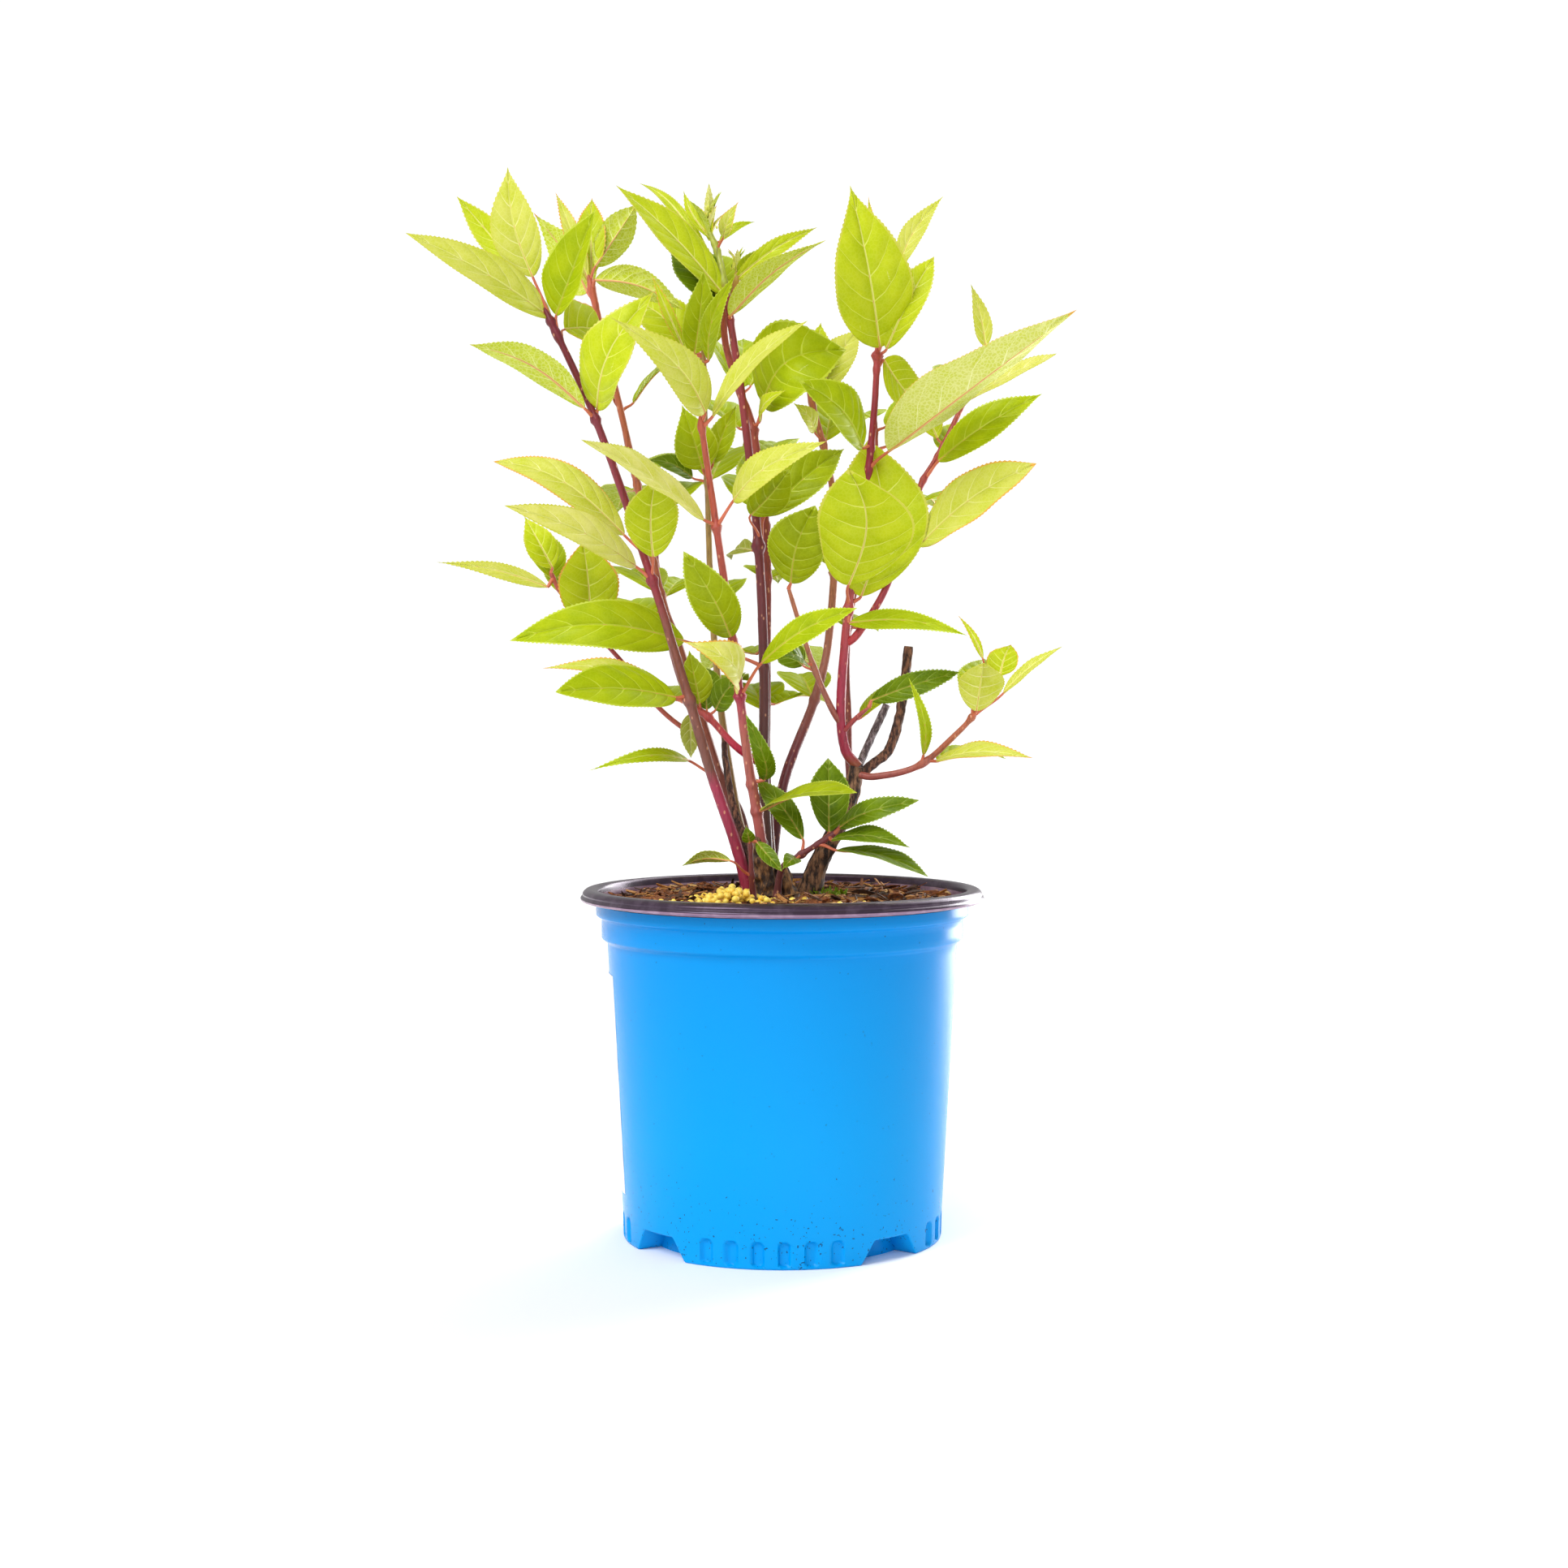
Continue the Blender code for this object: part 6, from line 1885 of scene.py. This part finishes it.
@dataclass
class Compost:
    """Bark compost: a rough bed, loose chips and shreds, feed granules, and moss by the trunk."""

    edge: float = 181.0
    middle: float = SOIL_LEVEL
    flat_radius: float = 62.0
    radius: float = 99.4
    depth: float = 16.0
    bed_rings: int = 46
    bed_sides: int = 160
    bits: int = 1050
    shred_share: float = 0.65
    # Spans of the length, width and thickness of a long shred and of a short chip
    shred: tuple[Span, Span, Span] = ((10, 27), (1.4, 3.6), (0.4, 1.0))
    chip: tuple[Span, Span, Span] = ((3.5, 9), (2.0, 5.0), (0.8, 2.0))
    wood_shares: tuple[float, ...] = (0.34, 0.72, 0.92)
    heap_middle: tuple[float, float] = (-29, -50)
    heap_spread: tuple[float, float] = (13, 10)
    heap_tries: int = 430
    granule_radius: float = 1.85
    strays: Marks = (
        (5, -62, 1.8), (25, -6, 2.2), (43, -52, 1.9), (58, -66, 1.7), (-66, -50, 1.9), (-58, -58, 1.7),
        (12, -40, 2.0), (-75, -40, 1.8), (30, -58, 1.7), (4, -6, 2.2), (-50, -64, 1.9),
    )
    moss_middle: tuple[float, float] = (25, -7)
    moss_spread: float = 5.0
    sprigs: int = 70
    seed: int = 5

    def level(self, x: float, y: float) -> float:
        """Work out the height of the rough bed.

        Args:
            x: Distance to the right of the pot's middle.
            y: Distance behind it.

        Returns:
            The height.
        """
        reach = math.hypot(x, y)
        share = min(1.0, max(0.0, (self.radius - reach) / (self.radius - self.flat_radius)))
        bumps = noise.noise(Vector((x / 9, y / 9, 3.1))) * 1.3
        bumps += noise.noise(Vector((x / 3, y / 3, 8.4))) * 0.6
        return self.edge + (self.middle - self.edge) * share - 0.8 + bumps

    def bed(self) -> None:
        """Build the bed as a closed disc with a rough top."""
        rings, around = self.bed_rings, self.bed_sides
        points, faces = [], []
        for ring in range(rings + 1):
            reach = self.radius * (ring + 0.5) / (rings + 0.5)
            for step in range(around):
                turn = step * math.tau / around
                x, y = reach * math.cos(turn), reach * math.sin(turn)
                points.append((x, y, self.level(x, y)))
        foot = self.edge - self.depth
        slim = self.radius - 3.0
        sides = ((self.radius, self.edge - 2.5), (slim, self.edge - 7), (slim, foot), (0.5, foot))
        for reach, height in sides:
            for step in range(around):
                turn = step * math.tau / around
                points.append((reach * math.cos(turn), reach * math.sin(turn), height))
        points += [(0, 0, self.level(0, 0)), (0, 0, foot)]
        total = (rings + 1 + len(sides)) * around
        faces = grid_faces(rings + 1 + len(sides), around, True)
        for step in range(around):
            after = (step + 1) % around
            faces += [(total, after, step), (total + 1, total - around + step, total - around + after)]
        # Near-black bed: partly dark compost fines, partly painted shade in the gaps between chips
        dark_bed = ShreddedWood("compost_fines_and_gap_shade", "140A06", "3A2010")
        draft = Draft()
        draft.add(np.array(points), [face[::-1] for face in faces], dark_bed)
        draft.piece("compost_bed", "compost", ["soil"])

    def loose(self) -> None:
        """Strew chips and shreds over the bed."""
        draw = random.Random(self.seed)
        woods = (ShreddedWood("bark_dark", "2A160C", "5A3218"),
                 ShreddedWood("bark_chestnut", "5A2E14", "96582A"),
                 ShreddedWood("bark_tan", "8A5626", "BE8646"), ShreddedWood("bark_straw", "AE7E44", "DCB474"))
        draft = Draft()
        for _ in range(self.bits):
            reach = (self.radius - 3.5) * math.sqrt(draw.random())
            turn = draw.uniform(0, math.tau)
            x, y = reach * math.cos(turn), reach * math.sin(turn)
            spans = self.shred if draw.random() < self.shred_share else self.chip
            length, width, thick = (draw.uniform(*span) for span in spans)
            yaw, pitch, roll = draw.uniform(0, math.tau), draw.gauss(0, 0.2), draw.gauss(0, 0.45)
            ahead = heading_axis(yaw, pitch)
            if max(math.hypot(x + ahead[0] * end, y + ahead[1] * end)
                   for end in (-length / 2, length / 2)) > self.radius - 1:
                continue
            side = unit(np.cross((0, 0, 1), ahead))
            side = unit(side + np.array((0, 0, 1)) * math.tan(roll))
            up = np.cross(ahead, side)
            centre = np.array((x, y, self.level(x, y) + thick * 0.5 + draw.uniform(-0.3, 1.8)))
            bend = draw.uniform(-0.06, 0.1) * length
            points = []
            for part, grow in ((-0.5, draw.uniform(0.3, 0.8)), (-0.1, 1.0), (0.2, draw.uniform(0.8, 1.1)),
                               (0.5, draw.uniform(0.15, 0.7))):
                middle = centre + ahead * (part * length) + side * (bend * (1 - 4 * part ** 2))
                for a, b in ((-1, -1), (1, -1), (1, 1), (-1, 1)):
                    points.append(middle + side * (a * width / 2 * grow * draw.uniform(0.7, 1.1))
                                  + up * (b * thick / 2 * grow * draw.uniform(0.7, 1.1)))
            faces = [(ring * 4 + k, ring * 4 + (k + 1) % 4, ring * 4 + 4 + (k + 1) % 4, ring * 4 + 4 + k)
                     for ring in range(3) for k in range(4)] + [(3, 2, 1, 0), (12, 13, 14, 15)]
            pick = draw.random()
            draft.add(np.array(points), faces, woods[sum(pick >= share for share in self.wood_shares)])
        draft.piece("compost_chips", "compost", sharp=30)

    def granules(self) -> None:
        """Heap the yellow feed granules at the left of the front, with a few rolled away."""
        draw = random.Random(self.seed + 1)
        draft = Draft()
        finish = CoatedGranule("coated_feed_granule")
        spots = []
        for _ in range(self.heap_tries):
            x, y = (draw.gauss(middle, spread) for middle, spread in zip(self.heap_middle, self.heap_spread))
            if math.hypot(x, y) < self.radius - 6:
                spots.append((x, y, self.granule_radius))
        placed: list[Array] = []
        for x, y, radius in (*spots, *self.strays):
            radius *= draw.uniform(0.85, 1.12)
            height = self.level(x, y) + radius * 0.7
            for _ in range(4):
                near = [p for p in placed if math.hypot(p[0] - x, p[1] - y) < 2.0 * radius
                        and abs(p[2] - height) < 1.9 * radius]
                if not near:
                    break
                height = max(p[2] for p in near) + 1.5 * radius
            if height > self.level(x, y) + 2.2 + 5.5 * math.exp(-((x + 26) / 15) ** 2):
                continue
            placed.append(np.array((x, y, height)))
            draft.add(*bead(placed[-1], radius, 12, 8, draw.uniform(0.9, 1.0)), finish)
        draft.piece("feed_granules", "compost")

    def moss(self) -> None:
        """Grow small green leaflets and sprigs by the foot of the trunk."""
        draw = random.Random(self.seed + 2)
        draft = Draft()
        for _ in range(self.sprigs):
            x, y = (draw.gauss(middle, self.moss_spread) for middle in self.moss_middle)
            foot = np.array((x, y, self.level(x, y)))
            lean = unit(np.array((draw.gauss(0, 0.6), draw.gauss(0, 0.6), 1.0)))
            tip = foot + lean * draw.uniform(2.5, 7)
            leaf = Turned(0, 0, 0, 0, draw.uniform(0.9, 2.4), stalk=0.2, tone=DEEP, tip=1.0)
            Blade(foot, tip, face_normal(lean, draw.uniform(-40, 80)), leaf, draw.randrange(999), veins=2,
                  thickness=0.2, vein_width=0.1, midrib_width=0.12).add_to(draft)
        draft.piece("moss_sprigs", "leaf")

    def build(self) -> None:
        """Build everything that lies in the pot."""
        self.bed()
        self.loose()
        self.granules()
        self.moss()


class Sun(NamedTuple):
    """Soft distant lamp."""

    name: str
    towards: tuple[float, float, float]
    power: float
    spread: float


class Strip(NamedTuple):
    """Tall lit panel behind the pot, which edges it with light, in metres and watts."""

    name: str
    place: tuple[float, float, float]
    width: float
    power: float


@dataclass
class Studio:
    """White floor and backdrop, three soft suns, a strip light at each side, and the photograph's camera.

    The floor and the strips are set out in metres.
    """

    photo_pixels: int = 1932
    focal_pixels: float = 2900.0
    shift_pixels: float = -108.0
    sensor: float = 36.0
    camera_right: float = 0.9
    backdrop: float = 1.05
    fill: float = 0.5
    floor_reach: float = 9.0
    suns: tuple[Sun, ...] = (Sun("key_light", (-0.55, -0.5, 0.8), 1.9, 30),
                             Sun("front_light", (-0.15, -0.9, 0.42), 0.7, 25),
                             Sun("back_light", (0.45, 0.65, 0.75), 1.1, 40))
    strips: tuple[Strip, ...] = (Strip("left_strip", (-1.1, 0.45, 0.35), 0.35, 0.5),
                                 Strip("right_strip", (0.85, 1.0, 0.35), 0.7, 22))
    strip_height: float = 1.2
    strip_aim: float = 0.25

    def world(self) -> None:
        """Build a white backdrop that lights the plant more softly than it shows."""
        world = bpy.data.worlds.new("white_studio")
        world.use_nodes = True
        tree = world.node_tree
        shown = tree.nodes["Background"]
        shown.inputs["Color"].default_value = linear("FFFFFF")
        shown.inputs["Strength"].default_value = self.backdrop
        light = add_node(tree, "Background", {"Color": linear("FFFFFF"), "Strength": self.fill})
        path = add_node(tree, "LightPath")
        mixed = add_node(tree, "MixShader", links={0: path.outputs["Is Camera Ray"], 1: light.outputs[0],
                                                   2: shown.outputs[0]})
        tree.links.new(mixed.outputs[0], tree.nodes["World Output"].inputs["Surface"])
        bpy.context.scene.world = world

    def floor(self) -> None:
        """Lay the floor."""
        reach = self.floor_reach
        mesh = bpy.data.meshes.new("studio_floor")
        mesh.from_pydata([(-reach, -reach, 0), (reach, -reach, 0), (reach, reach, 0), (-reach, reach, 0)], [],
                         [(0, 1, 2, 3)])
        floor = bpy.data.objects.new("studio_floor", mesh)
        bpy.context.scene.collection.objects.link(floor)
        mesh.materials.append(BackgroundPaper("studio_paper").material())

    def lamps(self) -> None:
        """Hang the suns, and stand the strips so that they face the pot."""
        collection = bpy.context.scene.collection
        for sun in self.suns:
            data = bpy.data.lights.new(sun.name, "SUN")
            data.energy, data.angle = sun.power, math.radians(sun.spread)
            lamp = bpy.data.objects.new(sun.name, data)
            lamp.rotation_euler = Vector(sun.towards).to_track_quat("Z", "Y").to_euler()
            collection.objects.link(lamp)
        for strip in self.strips:
            data = bpy.data.lights.new(strip.name, "AREA")
            data.shape, data.size, data.size_y = "RECTANGLE", strip.width, self.strip_height
            data.energy = strip.power
            lamp = bpy.data.objects.new(strip.name, data)
            lamp.visible_camera = False
            lamp.location = strip.place
            ahead = -lamp.location + Vector((0, 0, self.strip_aim))
            lamp.rotation_euler = ahead.to_track_quat("-Z", "Y").to_euler()
            collection.objects.link(lamp)

    def camera(self) -> None:
        """Set up the camera at the photograph's angle."""
        scene = bpy.context.scene
        data = bpy.data.cameras.new("camera")
        data.lens, data.sensor_width = self.focal_pixels * self.sensor / self.photo_pixels, self.sensor
        data.shift_y = self.shift_pixels / self.photo_pixels
        camera = bpy.data.objects.new("camera", data)
        camera.location = (self.camera_right * MM, -EYE_DISTANCE * MM, EYE_HEIGHT * MM)
        camera.rotation_euler = (math.radians(90), 0, 0)
        scene.collection.objects.link(camera)
        scene.camera = camera

    def build(self) -> None:
        """Build floor, lights and camera."""
        bpy.context.scene.view_settings.view_transform = "Standard"
        self.world()
        self.floor()
        self.lamps()
        self.camera()


def main() -> None:
    """Build the shrub on its frame, in the studio."""
    logging.basicConfig(level=logging.INFO, format="%(message)s")
    for item in list(bpy.data.objects):
        bpy.data.objects.remove(item, do_unlink=True)
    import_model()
    Studio().build()
    pot = Pot()
    pot.build()
    Rim().build()
    Label(pot).build()
    Compost().build()
    Trunk().build()
    for number, plan in enumerate(PLANS):
        Shoot(plan, number + 1).build()
    bpy.context.view_layer.update()


if __name__ == "__main__":
    main()
